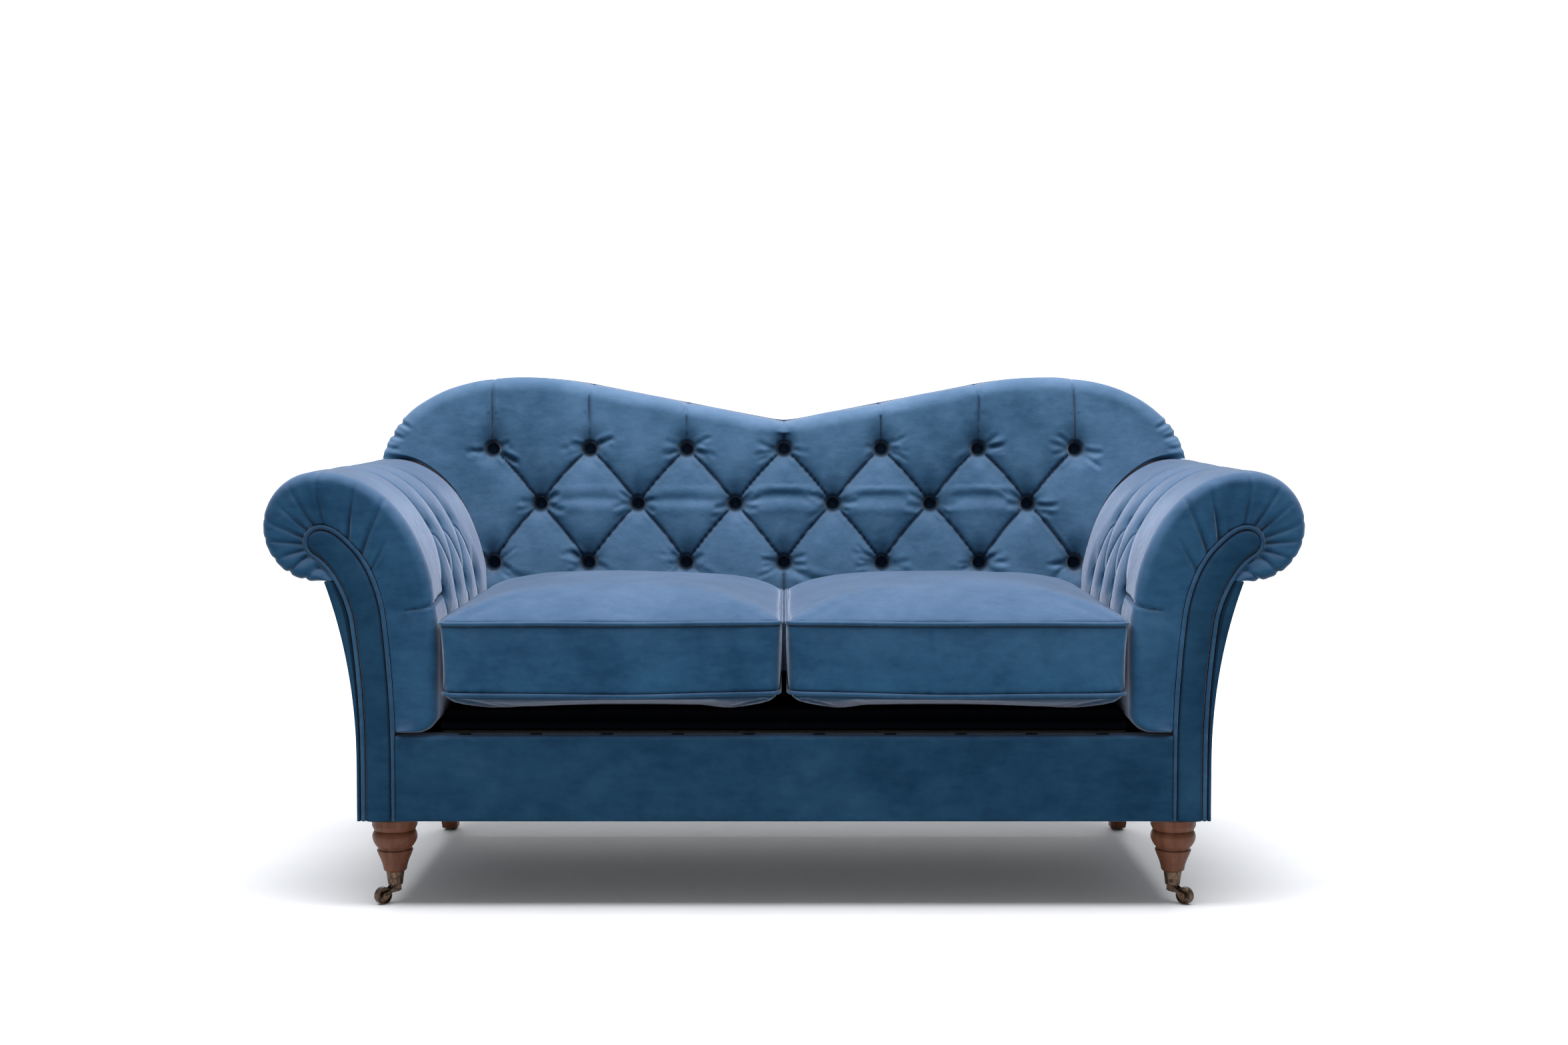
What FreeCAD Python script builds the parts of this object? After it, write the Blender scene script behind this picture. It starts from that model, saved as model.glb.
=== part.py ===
"""Two-seat button-backed sofa with scroll arms, a double-humped back and turned legs.

Frame: +X to the right as seen from the front, +Y to the back, +Z up, millimetres.
The origin is on the floor, under the middle of the sofa. "left" and "right" are as seen from the front.
The sofa stands on cup casters in front and on raked wooden legs with glides behind.
"""
import FreeCAD
import Part
from FreeCAD import Vector as V
from math import atan2, cos, degrees, radians, sin, sqrt, tan
import os

# ---------------------------------------------------------------- driving dimensions
SOFA_WIDTH = 1790.0          # over the two scroll arms
SOFA_DEPTH = 890.0           # cushion front to the top of the outside back
HUMP_HEIGHT = 923.0          # floor to the top of each hump
DIP_DROP = 91.0              # how far the middle of the back lies under the humps
FRAME_HEIGHT = 153.0         # floor to the underside of the upholstery
SEAT_RAIL_TOP = 295.0        # floor to the top of the seat rails
ARM_HEIGHT = 756.0           # floor to the top of the scroll arms
ROLL_RADIUS = 94.0           # padded scroll of the arm
ARM_THICKNESS = 299.0        # outside of the scroll to the inner face of the arm
BODY_SETBACK = 158.0         # outside of the scroll to the outside of the arm at the bottom
BACK_LEAN = 11.0             # degrees that the back leans from upright
PAD_THICKNESS = 109.0        # buttoned padding of the back
BACK_BOARD = 38.0            # thickness of the back frame
CUSHION_EDGE_TOP = 499.0     # floor to the top piping of the seat cushions
CUSHION_BOXING = 123.0       # height of the cushion between its two pipings
CUSHION_CROWN = 59.0         # rise of the cushion over its top piping
PIPING_RADIUS = 3.5
BUTTON_RADIUS = 11.0
BUTTON_PITCH = 197.0         # between back buttons in a row
BUTTON_ROWS = (776.0, 666.0, 548.0)   # heights of the three rows of back buttons
TUFT_DEPTH = 40.0            # from the face of the back padding down to its buttons
WHEEL_RADIUS = 15.0
WHEEL_WIDTH = 13.0
TRAIL = 24.4                 # caster axle behind its swivel pin
CASTER_TURN = 40.0           # degrees that each caster axle is turned from the sofa's long axis view
LEG_TOP_RADIUS = 39.4
LEG_INSET = 56.0             # leg axis inside the outside of the body
LEG_SETBACK = 62.0           # leg axis behind the arm front

# ---------------------------------------------------------------- clearances and small thicknesses
FIT = 0.5                    # between neighbouring upholstered pieces
SEAT_GAP = 2.0               # between seat cushion, arms and each other
RUNNING = 0.06               # radial clearance of a turning pin
BOLT_CLEARANCE = 0.15
COVER = 8.0                  # tacked cover with its wadding or card
ARM_SKIN = 7.0               # outside arm cover over the frame
DUST_COVER = 1.0
BOARD = 22.0                 # plywood arm board
RAIL = 28.0                  # thickness of the seat rails
TIMBER_GAP = 1.0             # between frame timbers and the padding over them
PLATE = 3.0                  # leg mounting plate

# ---------------------------------------------------------------- places worked out from them
HALF = SOFA_WIDTH / 2
FRONT = -SOFA_DEPTH / 2
REAR = SOFA_DEPTH / 2
CUSHION_OVERHANG = 15.0
FACE = FRONT + CUSHION_OVERHANG            # front of the padded arms
BODY = HALF - BODY_SETBACK
INNER = HALF - ARM_THICKNESS
ROLL_X = HALF - ROLL_RADIUS
ROLL_Z = ARM_HEIGHT - ROLL_RADIUS
ARM_PAD_FOOT = SEAT_RAIL_TOP + 12.0
CORE_IN = BODY - 68.0                      # inner edge of the arm front panel at its foot
CORE_OUT = BODY - ARM_SKIN                 # its outer edge
HEAD_RADIUS = 31.0                         # round head of the arm front panel
HEAD_END = -60.0                           # where the round head ends under the scroll, from +X towards +Z
HEAD_X = ROLL_X - 8.0
HEAD_Z = ROLL_Z - 27.0
LEAN = radians(BACK_LEAN)
PANEL_SINK = 8.0                           # arm front panel behind the padded rim round it
BOARD_FRONT = FACE + PANEL_SINK + 18.0
BOARD_REAR = BOARD_FRONT + BOARD
WING = HALF - 84.0                         # widest part of the back
HUMP_X = WING - 266.0
LEG_X = BODY - LEG_INSET
FRONT_LEG_Y = FACE + LEG_SETBACK
TIMBER_FOOT = FRAME_HEIGHT + DUST_COVER + 0.5
DECK_TOP = CUSHION_EDGE_TOP - CUSHION_BOXING - 35.0
FRAME_D0 = PAD_THICKNESS + 3.0             # front of the back frame, under the webbing
FRAME_D1 = FRAME_D0 + BACK_BOARD
BACK_D1 = FRAME_D1 + COVER
FAR = 3000.0

os.makedirs("parts", exist_ok=True)


def keep(name, *shapes):
    """Writes one node, as one solid or as a group of separate solids."""
    solids = [s for shape in shapes for s in shape.Solids]
    for s in solids:
        if not s.isValid() or s.Volume <= 0:
            raise ValueError(f"{name} has a bad solid")
    shape = solids[0] if len(solids) == 1 else Part.makeCompound(solids)
    shape.exportStep(f"parts/{name}.step")


def other_side(shape):
    return shape.mirror(V(0, 0, 0), V(1, 0, 0))


def keep_pair(name, right):
    keep(name + "_right", right)
    keep(name + "_left", other_side(right))


def box(x0, x1, y0, y1, z0, z1):
    return Part.makeBox(x1 - x0, y1 - y0, z1 - z0, V(x0, y0, z0))


def line(a, b):
    return Part.makeLine(a, b)


def spline(points, start=None, end=None):
    curve = Part.BSplineCurve()
    if start is None:
        curve.interpolate(Points=points)
    else:
        curve.interpolate(Points=points, InitialTangent=start, FinalTangent=end)
    return curve.toShape()


def arc(centre, radius, a0, a1):
    """Arc in the XZ plane, angles in degrees from +X towards +Z."""
    mid = (a0 + a1) / 2
    ends = [centre + V(radius * cos(radians(a)), 0, radius * sin(radians(a))) for a in (a0, mid, a1)]
    return Part.Arc(*ends).toShape()


def face_of(edges):
    return Part.Face(Part.Wire(edges))


def prism(face, y0, y1):
    """Extrudes a face of the XZ plane along Y."""
    moved = face.copy()
    moved.translate(V(0, y0, 0))
    return moved.extrude(V(0, y1 - y0, 0))


def rectangle(x0, x1, z0, z1):
    return face_of(Part.makePolygon([V(x0, 0, z0), V(x1, 0, z0), V(x1, 0, z1), V(x0, 0, z1),
                                     V(x0, 0, z0)]).Edges)


# ---------------------------------------------------------------- the leaning planes of the back
def rear_y(z):
    """Y of the outside back at a height."""
    return REAR - (HUMP_HEIGHT - z) * tan(LEAN)


def lean_y(d, z):
    """Y of the plane that lies d under the face of the back padding, at a height."""
    return rear_y(z) - (BACK_D1 - d) / cos(LEAN)


def lean_point(x, z, d):
    return V(x, lean_y(d, z), z)


def slab(d0, d1):
    """The space between two planes of the leaning back, d measured square to them."""
    z0, z1 = -FAR / 2, FAR / 2
    corners = [(lean_y(d0, z0), z0), (lean_y(d1, z0), z0), (lean_y(d1, z1), z1), (lean_y(d0, z1), z1)]
    wire = Part.makePolygon([V(-FAR / 2, y, z) for y, z in corners + corners[:1]])
    return Part.Face(wire).extrude(V(FAR, 0, 0))


def leaning(face, d0, d1):
    return prism(face, -FAR / 2, FAR / 2).common(slab(d0, d1))


BACKWARD = V(0, cos(LEAN), -sin(LEAN))     # into the padding, square to its face


# --------------------------------------------------- section of the scroll arm (right-hand side)
FLARE_START = SEAT_RAIL_TOP - 34.0         # height where the outside of the arm begins to curve out
FLARE_ANGLE = -97.3                        # where it meets the scroll, from +X towards +Z
SHOULDER_X = ROLL_X - 12.0                 # where the top of the arm turns down towards the seat
WAIST_Z = ARM_HEIGHT - 275.0               # height where the inner face of the arm becomes upright


def on_roll(radius, angle):
    return V(ROLL_X + radius * cos(radians(angle)), 0, ROLL_Z + radius * sin(radians(angle)))


SEAM_Z = ROLL_Z - ROLL_RADIUS              # under the scroll, where the outside cover of the arm begins


def arm_section(inset=0.0, foot=FRAME_HEIGHT):
    """Closed outline of the whole arm: upright side, flare, scroll, elliptic shoulder, inner face."""
    start = V(BODY - inset, 0, FLARE_START)
    under = on_roll(ROLL_RADIUS - inset, FLARE_ANGLE)
    top = V(ROLL_X, 0, ARM_HEIGHT - inset)
    shoulder = V(SHOULDER_X, 0, ARM_HEIGHT - inset)
    waist = V(INNER + inset, 0, WAIST_Z)
    width, height = shoulder.x - waist.x, shoulder.z - waist.z
    around = [V(shoulder.x - width * sin(a), 0, waist.z + height * cos(a))
              for a in (radians(30), radians(60))]
    foot_in, foot_out = V(INNER + inset, 0, foot), V(BODY - inset, 0, foot)
    return face_of([line(foot_out, start), spline([start, under], V(0, 0, 1), V(0.36, 0, 1)),
                    arc(V(ROLL_X, 0, ROLL_Z), ROLL_RADIUS - inset, FLARE_ANGLE, 90), line(top, shoulder),
                    spline([shoulder] + around + [waist], V(-1, 0, 0), V(0, 0, -1)),
                    line(waist, foot_in), line(foot_in, foot_out)])


def core_edges(inset=0.0, foot=FRAME_HEIGHT):
    """Walking-stick outline of the arm's panel and hollow core, open at its foot, from the inside round."""
    radius = HEAD_RADIUS - inset
    head = V(HEAD_X, 0, HEAD_Z)
    lean_in, lean_out = HEAD_X - CORE_IN, HEAD_X - CORE_OUT
    inner = [V(CORE_IN + inset, 0, foot), V(CORE_IN + inset, 0, FLARE_START),
             V(CORE_IN + lean_in * 0.113 + inset, 0, ROLL_Z - 160),
             V(CORE_IN + lean_in * 0.282 + inset * 0.9, 0, ROLL_Z - 81 - inset * 0.4),
             V(CORE_IN + lean_in * 0.581 + inset * 0.6, 0, ROLL_Z - 26 - inset * 0.8),
             V(HEAD_X, 0, HEAD_Z + radius)]
    turn = radians(HEAD_END)
    leave = head + V(radius * cos(turn), 0, radius * sin(turn))
    outer = [leave, V(CORE_OUT + lean_out * 0.667 - inset, 0, ROLL_Z - 93),
             V(CORE_OUT + lean_out * 0.254 - inset, 0, ROLL_Z - 165),
             V(CORE_OUT - inset, 0, FLARE_START), V(CORE_OUT - inset, 0, foot)]
    return [line(inner[0], inner[1]), spline(inner[1:], V(0, 0, 1), V(1, 0, 0)),
            arc(head, radius, 90, HEAD_END),
            spline(outer[:-1], V(sin(turn), 0, -cos(turn)), V(0, 0, -1)), line(outer[-2], outer[-1])]


def core_section(inset=0.0, foot=FRAME_HEIGHT):
    closing = line(V(CORE_OUT - inset, 0, foot), V(CORE_IN + inset, 0, foot))
    return face_of(core_edges(inset, foot) + [closing])


def outer_strip(gap=0.0):
    """Between the core and the outside of the arm, under the scroll; a negative gap makes it bigger."""
    below = rectangle(CORE_IN + 40, HALF, FRAME_HEIGHT + 2 * gap, SEAM_Z - FIT - gap)
    return arm_section(gap).cut(core_section(-gap)).common(below)


# ---------------------------------------------------------------- outline of the back
def back_section(inset=0.0, foot=SEAT_RAIL_TOP, half_foot=None):
    """Double-humped outline, as seen square from the front, down to a straight foot."""
    half_foot = BODY if half_foot is None else half_foot
    top = HUMP_HEIGHT - inset
    dip = V(0, 0, HUMP_HEIGHT - DIP_DROP - inset)
    slope_end = V(HUMP_X - 154, 0, top - 15.2)
    slope = (slope_end - dip).normalize()
    crest = V(HUMP_X, 0, top)
    side = V(WING - inset, 0, ARM_HEIGHT - 3)
    reach, rise = side.x - HUMP_X, top - side.z
    rounds = [V(HUMP_X + reach * sin(a), 0, side.z + rise * cos(a)) for a in (radians(30), radians(60))]
    right = [spline([slope_end, crest] + rounds + [side], slope, V(0, 0, -1)),
             line(side, V(half_foot, 0, side.z)), line(V(half_foot, 0, side.z), V(half_foot, 0, foot))]
    soft = 30.0
    dip_right = dip + slope * soft
    dip_left = V(-dip_right.x, 0, dip_right.z)
    left = [other_side(e) for e in right]
    middle = [spline([dip_left, V(0, 0, dip.z + soft * 0.08), dip_right], V(slope.x, 0, -slope.z), slope),
              line(dip_right, slope_end), line(dip_left, V(-slope_end.x, 0, slope_end.z))]
    bottom = [line(V(-half_foot, 0, foot), V(half_foot, 0, foot))]
    return face_of(Part.__sortEdges__(right + left + middle + bottom))


# ---------------------------------------------------------------- places of the buttons
def back_buttons():
    """Seat of each back button: 7, 6 and 7 in a row, the end ones of the low row just clear of the arms."""
    found = []
    for row, z in enumerate(BUTTON_ROWS):
        count = 7 if row % 2 == 0 else 6
        reach = INNER - BUTTON_RADIUS if z < WAIST_Z + 100 else WING
        for i in range(count):
            x = (i - (count - 1) / 2) * BUTTON_PITCH
            found.append(lean_point(max(-reach, min(reach, x)), z, TUFT_DEPTH))
    return found


ARM_PITCH = 125.0
ARM_TUFT = 22.0
ARM_ROWS = ((ARM_HEIGHT - 105.0, 225.0, 3),
            (ARM_HEIGHT - 220.0, 162.5, 4))   # height, first button behind the arm front, count


def arm_face(z):
    """Point and outward direction of the right arm's inner face at a height, in the XZ plane."""
    def x_at(height):
        share = max(0.0, min(1.0, (height - WAIST_Z) / (ARM_HEIGHT - WAIST_Z)))
        return SHOULDER_X - (SHOULDER_X - INNER) * sqrt(1 - share * share)
    step = 1.0
    along = V(x_at(z + step) - x_at(z - step), 0, 2 * step).normalize()
    return V(x_at(z), 0, z), V(-along.z, 0, along.x)


def arm_buttons():
    """(seat, outward direction) of each button of the right arm."""
    found = []
    for z, first, count in ARM_ROWS:
        point, out = arm_face(z)
        seat = point - out * ARM_TUFT
        found += [(V(seat.x, FACE + first + i * ARM_PITCH, seat.z), out) for i in range(count)]
    return found


def button(at, out):
    """Covered button: a shallow dome on a short cylinder, at its back centre, facing out."""
    body = Part.makeCylinder(BUTTON_RADIUS, 4.0, V(0, 0, 0), V(0, 0, 1))
    dome_rise = 4.0
    ball = (BUTTON_RADIUS ** 2 + dome_rise ** 2) / (2 * dome_rise)
    dome = Part.makeSphere(ball, V(0, 0, 4.0 + dome_rise - ball)).common(
        Part.makeCylinder(BUTTON_RADIUS, dome_rise + 1, V(0, 0, 4.0), V(0, 0, 1)))
    return placed(body.fuse(dome).removeSplitter(), at, out)


def placed(shape, at, out):
    """Turns a shape made along +Z so that +Z points out, and puts its origin at a point."""
    moved = shape.copy()
    moved.Placement = FreeCAD.Placement(at, FreeCAD.Rotation(V(0, 0, 1), out))
    return moved


def tuft_recess(seat, out, depth, mouth):
    """Cone that a button pulls into the padding; the button sits on its floor."""
    proud = 1.0
    cone = Part.makeCone(BUTTON_RADIUS + 2.0, mouth, depth + proud, V(0, 0, 0), V(0, 0, 1))
    return placed(cone, seat, out)


# ================================================================ wooden frame
CORE_FRAME = core_section(TIMBER_GAP, TIMBER_FOOT)
POST_INSET = 12.0            # back post inside the outline of the arm
STILE_OUT = INNER + POST_INSET + 80.0      # outer edge of the post's upright
POST_TOP = ARM_HEIGHT + 15.0
RAIL_INSET = 22.0            # top rail inside the outline of the back


def frame_parts():
    keep_pair("arm_board", prism(CORE_FRAME, BOARD_FRONT, BOARD_REAR))
    front_y0 = FACE + COVER + 6.0
    keep("front_rail", box(-CORE_IN + FIT, CORE_IN - FIT, front_y0, front_y0 + RAIL, TIMBER_FOOT,
                           SEAT_RAIL_TOP))
    behind = BOARD_REAR + FIT

    def to_back(x0, x1, z0, z1):
        """A rail from the arm board back to the leaning back frame."""
        return box(x0, x1, behind, FAR / 3, z0, z1).common(in_front_of_frame(FIT))

    keep_pair("side_rail", to_back(CORE_IN - 29, CORE_IN - 1, TIMBER_FOOT, SEAT_RAIL_TOP))
    top_rail = to_back(HEAD_X - 0.8 * HEAD_RADIUS, HEAD_X + 0.4 * HEAD_RADIUS, HEAD_Z - 20,
                       HEAD_Z + 0.5 * HEAD_RADIUS)
    keep("arm_top_rails", top_rail, other_side(top_rail))
    stuffing = to_back(CORE_IN + 5, CORE_IN + 27, ARM_PAD_FOOT + 4, ARM_PAD_FOOT + 54)
    keep("arm_stuffing_rails", stuffing, other_side(stuffing))
    middle = box(-RAIL / 2, RAIL / 2, front_y0 + RAIL + FIT, FAR / 3, TIMBER_FOOT, SEAT_RAIL_TOP - 40)
    keep("centre_rail", middle.common(in_front_of_frame(FIT)))
    blocks = [leg_block(LEG_X, FRONT_LEG_Y, BOARD_REAR + FIT, BOARD_REAR + 80),
              leg_block(LEG_X, REAR_LEG_Y, REAR_LEG_Y - 55, REAR_BLOCK_END)]
    keep("leg_blocks", *blocks, *[other_side(b) for b in blocks])

    stile = rectangle(INNER + POST_INSET, STILE_OUT, TIMBER_FOOT, POST_TOP)
    post = leaning(arm_section(POST_INSET, TIMBER_FOOT), FRAME_D0, FRAME_D1)
    post = post.fuse(leaning(stile, FRAME_D0, FRAME_D1))
    keep_pair("back_post", post.removeSplitter().cut(prism(outer_strip(-FIT), -FAR / 3, FAR / 3)))
    above = rectangle(-HALF, HALF, POST_TOP + FIT, HUMP_HEIGHT)
    keep("back_top_rail", leaning(back_section(RAIL_INSET).common(above), FRAME_D0, FRAME_D1))
    span = INNER + POST_INSET - FIT
    keep("back_rail", leaning(rectangle(-span, span, TIMBER_FOOT, SEAT_RAIL_TOP), FRAME_D0, FRAME_D1))
    upright = 32.0
    keep("back_upright", leaning(rectangle(-upright, upright, SEAT_RAIL_TOP + FIT, POST_TOP), FRAME_D0,
                                 FRAME_D1))
    low = leaning(rectangle(upright + FIT, span, SEAT_RAIL_TOP + 55, SEAT_RAIL_TOP + 105), FRAME_D0,
                  FRAME_D1)
    keep("back_stuffing_rails", low, other_side(low))


def in_front_of_frame(gap):
    return slab(-FAR / 4, FRAME_D0 - gap)


REAR_BLOCK_END = lean_y(FRAME_D0, TIMBER_FOOT) - FIT
REAR_LEG_Y = REAR_BLOCK_END - 32.0
BOLT_RADIUS = 4.0
BOLT_UP = 42.0               # bolt above the mounting plate
BOLT_DOWN = 34.0             # bolt inside the leg


def leg_block(x, y, y0, y1):
    block = box(CORE_IN + 1.5, CORE_OUT - 1.5, y0, y1, TIMBER_FOOT, TIMBER_FOOT + 60)
    return block.cut(Part.makeCylinder(BOLT_RADIUS + BOLT_CLEARANCE, 200, V(x, y, 0)))


# ================================================================ springs and webbing
WIRE = 1.8
SPRING_COUNT = 10
SPRING_HALF = 25.0
SPRING_PITCH = 31.0


def suspension():
    seat_y0 = FACE + COVER + 6.0 + RAIL / 2
    seat_y1 = lean_y(FRAME_D0, SEAT_RAIL_TOP) + BACK_BOARD / 2
    z = SEAT_RAIL_TOP + 1.5 + FIT + WIRE
    turns = int((seat_y1 - seat_y0) // SPRING_PITCH) // 2 * 2
    pitch = (seat_y1 - seat_y0) / turns
    r = pitch / 2
    flat = SPRING_HALF - r

    def spring(x):
        """Zigzag wire: straight bars joined by half circles, with a straight bar at each end."""
        edges = []
        y = seat_y0
        side = 1
        edges.append(line(V(x - SPRING_HALF, y, z), V(x + flat, y, z)))
        for _ in range(turns):
            a, c = V(x + side * flat, y, z), V(x + side * flat, y + pitch, z)
            edges.append(Part.Arc(a, V(x + side * (flat + r), y + r, z), c).toShape())
            y += pitch
            side = -side
            edges.append(line(c, V(x + side * flat, y, z)))
        start = edges[0].Vertexes[0].Point
        ring = Part.Wire(Part.makeCircle(WIRE, start, V(1, 0, 0)))
        pipe = Part.Wire(edges).makePipeShell([ring], True, True)
        return pipe

    def clip(x, y, open_to):
        """Folded steel clip that holds the spring's end bar on the rail."""
        width, deep = 20.0, 16.0
        out = box(x - width / 2, x + width / 2, y - deep / 2, y + deep / 2, SEAT_RAIL_TOP,
                  z + WIRE + FIT + 1.2)
        slot_y0 = y - deep / 2 + (1.5 if open_to > 0 else -1)
        slot_y1 = y + deep / 2 + (1 if open_to > 0 else -1.5)
        return out.cut(box(x - width, x + width, slot_y0, slot_y1, SEAT_RAIL_TOP + 1.5, z + WIRE + FIT))

    gap = 2 * (INNER - 45) / (SPRING_COUNT - 1)
    places = [-(INNER - 45) + i * gap for i in range(SPRING_COUNT)]
    keep("seat_springs", *[spring(x) for x in places])
    keep("spring_clips", *[clip(x, seat_y0, 1) for x in places], *[clip(x, seat_y1, -1) for x in places])

    cloth_z = z + WIRE + FIT + 1.2 + FIT
    deck_front = FACE + 50.0
    behind_pad = slab(-FAR / 4, -FIT)
    cloth = box(-INNER + 2, INNER - 2, deck_front, FAR / 3, cloth_z, cloth_z + 1.5).common(behind_pad)
    keep("spring_cloth", cloth)
    deck = box(-INNER + 2, INNER - 2, deck_front + 22, FAR / 3, cloth_z + 1.5 + 0.3,
               DECK_TOP).common(behind_pad)
    keep("seat_deck", deck)
    lip = Part.makeCylinder(18.0, 2 * (INNER - 2), V(-INNER + 2, deck_front + 3, cloth_z + 1.8), V(1, 0, 0))
    lip = lip.common(box(-INNER, INNER, FRONT, deck_front + 21.5, cloth_z + 1.8, DECK_TOP))
    keep("seat_edge_roll", lip)

    strap = 50.0
    across = [leaning(rectangle(-INNER - 60, INNER + 60, h, h + strap), PAD_THICKNESS + 0.2,
                      PAD_THICKNESS + 1.4)
              for h in (SEAT_RAIL_TOP + 70, SEAT_RAIL_TOP + 205, SEAT_RAIL_TOP + 340)]
    up = [leaning(rectangle(x - strap / 2, x + strap / 2, SEAT_RAIL_TOP + 62, ARM_HEIGHT + 60),
                  PAD_THICKNESS + 1.6, PAD_THICKNESS + 2.8)
          for x in [(i - 2.5) * BUTTON_PITCH for i in range(6)]]
    keep("back_webbing", *across, *up)
    inner_side = rectangle(0, CORE_IN + 40, ARM_PAD_FOOT + 5, ROLL_Z - 95)
    band = core_section(0.4).cut(core_section(1.8)).common(inner_side)
    straps = [prism(band, y, y + strap) for y in [BOARD_REAR + 90 + i * 150 for i in range(3)]]
    keep("arm_webbing", *straps, *[other_side(s) for s in straps])


# ================================================================ upholstery
ARM_RIM = 26.0               # depth of the rounding of the padded rim round the arm's front
RIM_STEPS = ((14.0, FACE), (5.0, FACE + 8.0), (0.0, FACE + ARM_RIM))


def moved_back(shape, y):
    moved = shape.copy()
    moved.translate(V(0, y, 0))
    return moved


def upholstery():
    arm = arm_section()
    core = core_section()
    side_strip = rectangle(CORE_IN + 40, HALF, FRAME_HEIGHT - 1, SEAM_Z)
    under = rectangle(0, FAR, FRAME_HEIGHT - 1, ARM_PAD_FOOT)
    rim = Part.makeLoft([moved_back(arm_section(inset).OuterWire, y) for inset, y in RIM_STEPS], True, True)
    pad = rim.fuse(prism(arm, FACE + ARM_RIM, FAR / 4)).common(slab(-FAR / 4, PAD_THICKNESS))
    for gone in (core, side_strip, under):
        pad = pad.cut(prism(gone, -FAR / 3, FAR / 3))
    beyond_stile = rectangle(STILE_OUT + TIMBER_GAP, HALF, SEAM_Z, ARM_HEIGHT)
    over_post = arm.cut(arm_section(POST_INSET - TIMBER_GAP)).common(beyond_stile)
    pad = pad.fuse(leaning(over_post, PAD_THICKNESS, FRAME_D1 - FIT)).removeSplitter()
    for seat, out in arm_buttons():
        pad = pad.cut(tuft_recess(seat, out, ARM_TUFT, 24.0))
    keep_pair("arm_pad", pad)
    buttons = [button(seat, out) for seat, out in arm_buttons()]
    keep("arm_buttons", *buttons, *[other_side(b) for b in buttons])

    keep_pair("outside_arm", prism(outer_strip(), FACE + PANEL_SINK,
                                   FAR / 4).common(slab(-FAR / 4, FRAME_D1 - FIT)))

    panel = prism(core_section(2 * PIPING_RADIUS + 2.0), FACE + PANEL_SINK, BOARD_FRONT - FIT)
    base = prism(core_section(0.3), FACE + PANEL_SINK + 2 * PIPING_RADIUS + 1.0, BOARD_FRONT - FIT)
    keep_pair("arm_front_panel", panel.fuse(base).removeSplitter())
    beside = PIPING_RADIUS + 0.8
    path = moved_back(Part.Wire(core_edges(beside)), FACE + PANEL_SINK + PIPING_RADIUS)
    start = V(CORE_IN + beside, FACE + PANEL_SINK + PIPING_RADIUS, FRAME_HEIGHT)
    cord = path.makePipeShell([Part.Wire(Part.makeCircle(PIPING_RADIUS, start, V(0, 0, 1)))], True, True)
    keep("arm_piping", cord, other_side(cord))

    wide = CORE_IN - FIT
    front = box(-wide, wide, FACE + 5, FACE + 5 + COVER, FRAME_HEIGHT, SEAT_RAIL_TOP + 7)
    lap = box(-wide, wide, FACE + 5, FACE + 49.5, SEAT_RAIL_TOP + 0.8, SEAT_RAIL_TOP + 7)
    clear = box(-INNER - 1, INNER + 1, FACE + COVER + 6.5, FACE + 60, SEAT_RAIL_TOP, SEAT_RAIL_TOP + 7.1)
    border = front.fuse(lap.cut(clear)).removeSplitter()
    keep("front_border", border)

    wall = prism(arm_section(-1.0), -FAR / 3, FAR / 3)
    back = leaning(back_section(0.0, DECK_TOP - 40, INNER + 100), 0, PAD_THICKNESS)
    back = back.cut(wall).cut(other_side(wall))
    back = max(back.Solids, key=lambda s: s.Volume)
    above = rectangle(-HALF, HALF, POST_TOP, HUMP_HEIGHT)
    over_rail = back_section().cut(back_section(RAIL_INSET - TIMBER_GAP)).common(above)
    back = back.fuse(leaning(over_rail, PAD_THICKNESS, FRAME_D1 - FIT)).removeSplitter()
    out = BACKWARD * -1
    for seat in back_buttons():
        back = back.cut(tuft_recess(seat, out, TUFT_DEPTH, 34.0))
    keep("back_pad", back)
    keep("back_buttons", *[button(seat, out) for seat in back_buttons()])

    sheet = leaning(back_section(0.0, FRAME_HEIGHT, BODY - 20), FRAME_D1, BACK_D1)
    wing = leaning(arm, FRAME_D1, BACK_D1)
    keep("outside_back", sheet.fuse([wing, other_side(wing)]).removeSplitter())

    hem = 5.0
    sheet = box(-CORE_OUT + hem, CORE_OUT - hem, BOARD_FRONT + 1, lean_y(FRAME_D1, FRAME_HEIGHT) - hem,
                FRAME_HEIGHT, FRAME_HEIGHT + DUST_COVER)
    for x in (-LEG_X, LEG_X):
        for y in (FRONT_LEG_Y, REAR_LEG_Y):
            sheet = sheet.cut(Part.makeCylinder(BOLT_RADIUS + 1, 400, V(x, y, 0)))
    keep("dust_cover", sheet)


# ================================================================ seat cushions
CUSHION_IN = SEAT_GAP / 2
CUSHION_OUT = INNER - SEAT_GAP
CUSHION_TOP = CUSHION_EDGE_TOP
CUSHION_LOW = CUSHION_EDGE_TOP - CUSHION_BOXING
CUSHION_REAR = lean_y(0, DECK_TOP) - SEAT_GAP - 1.0
CORNER = 22.0


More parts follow.
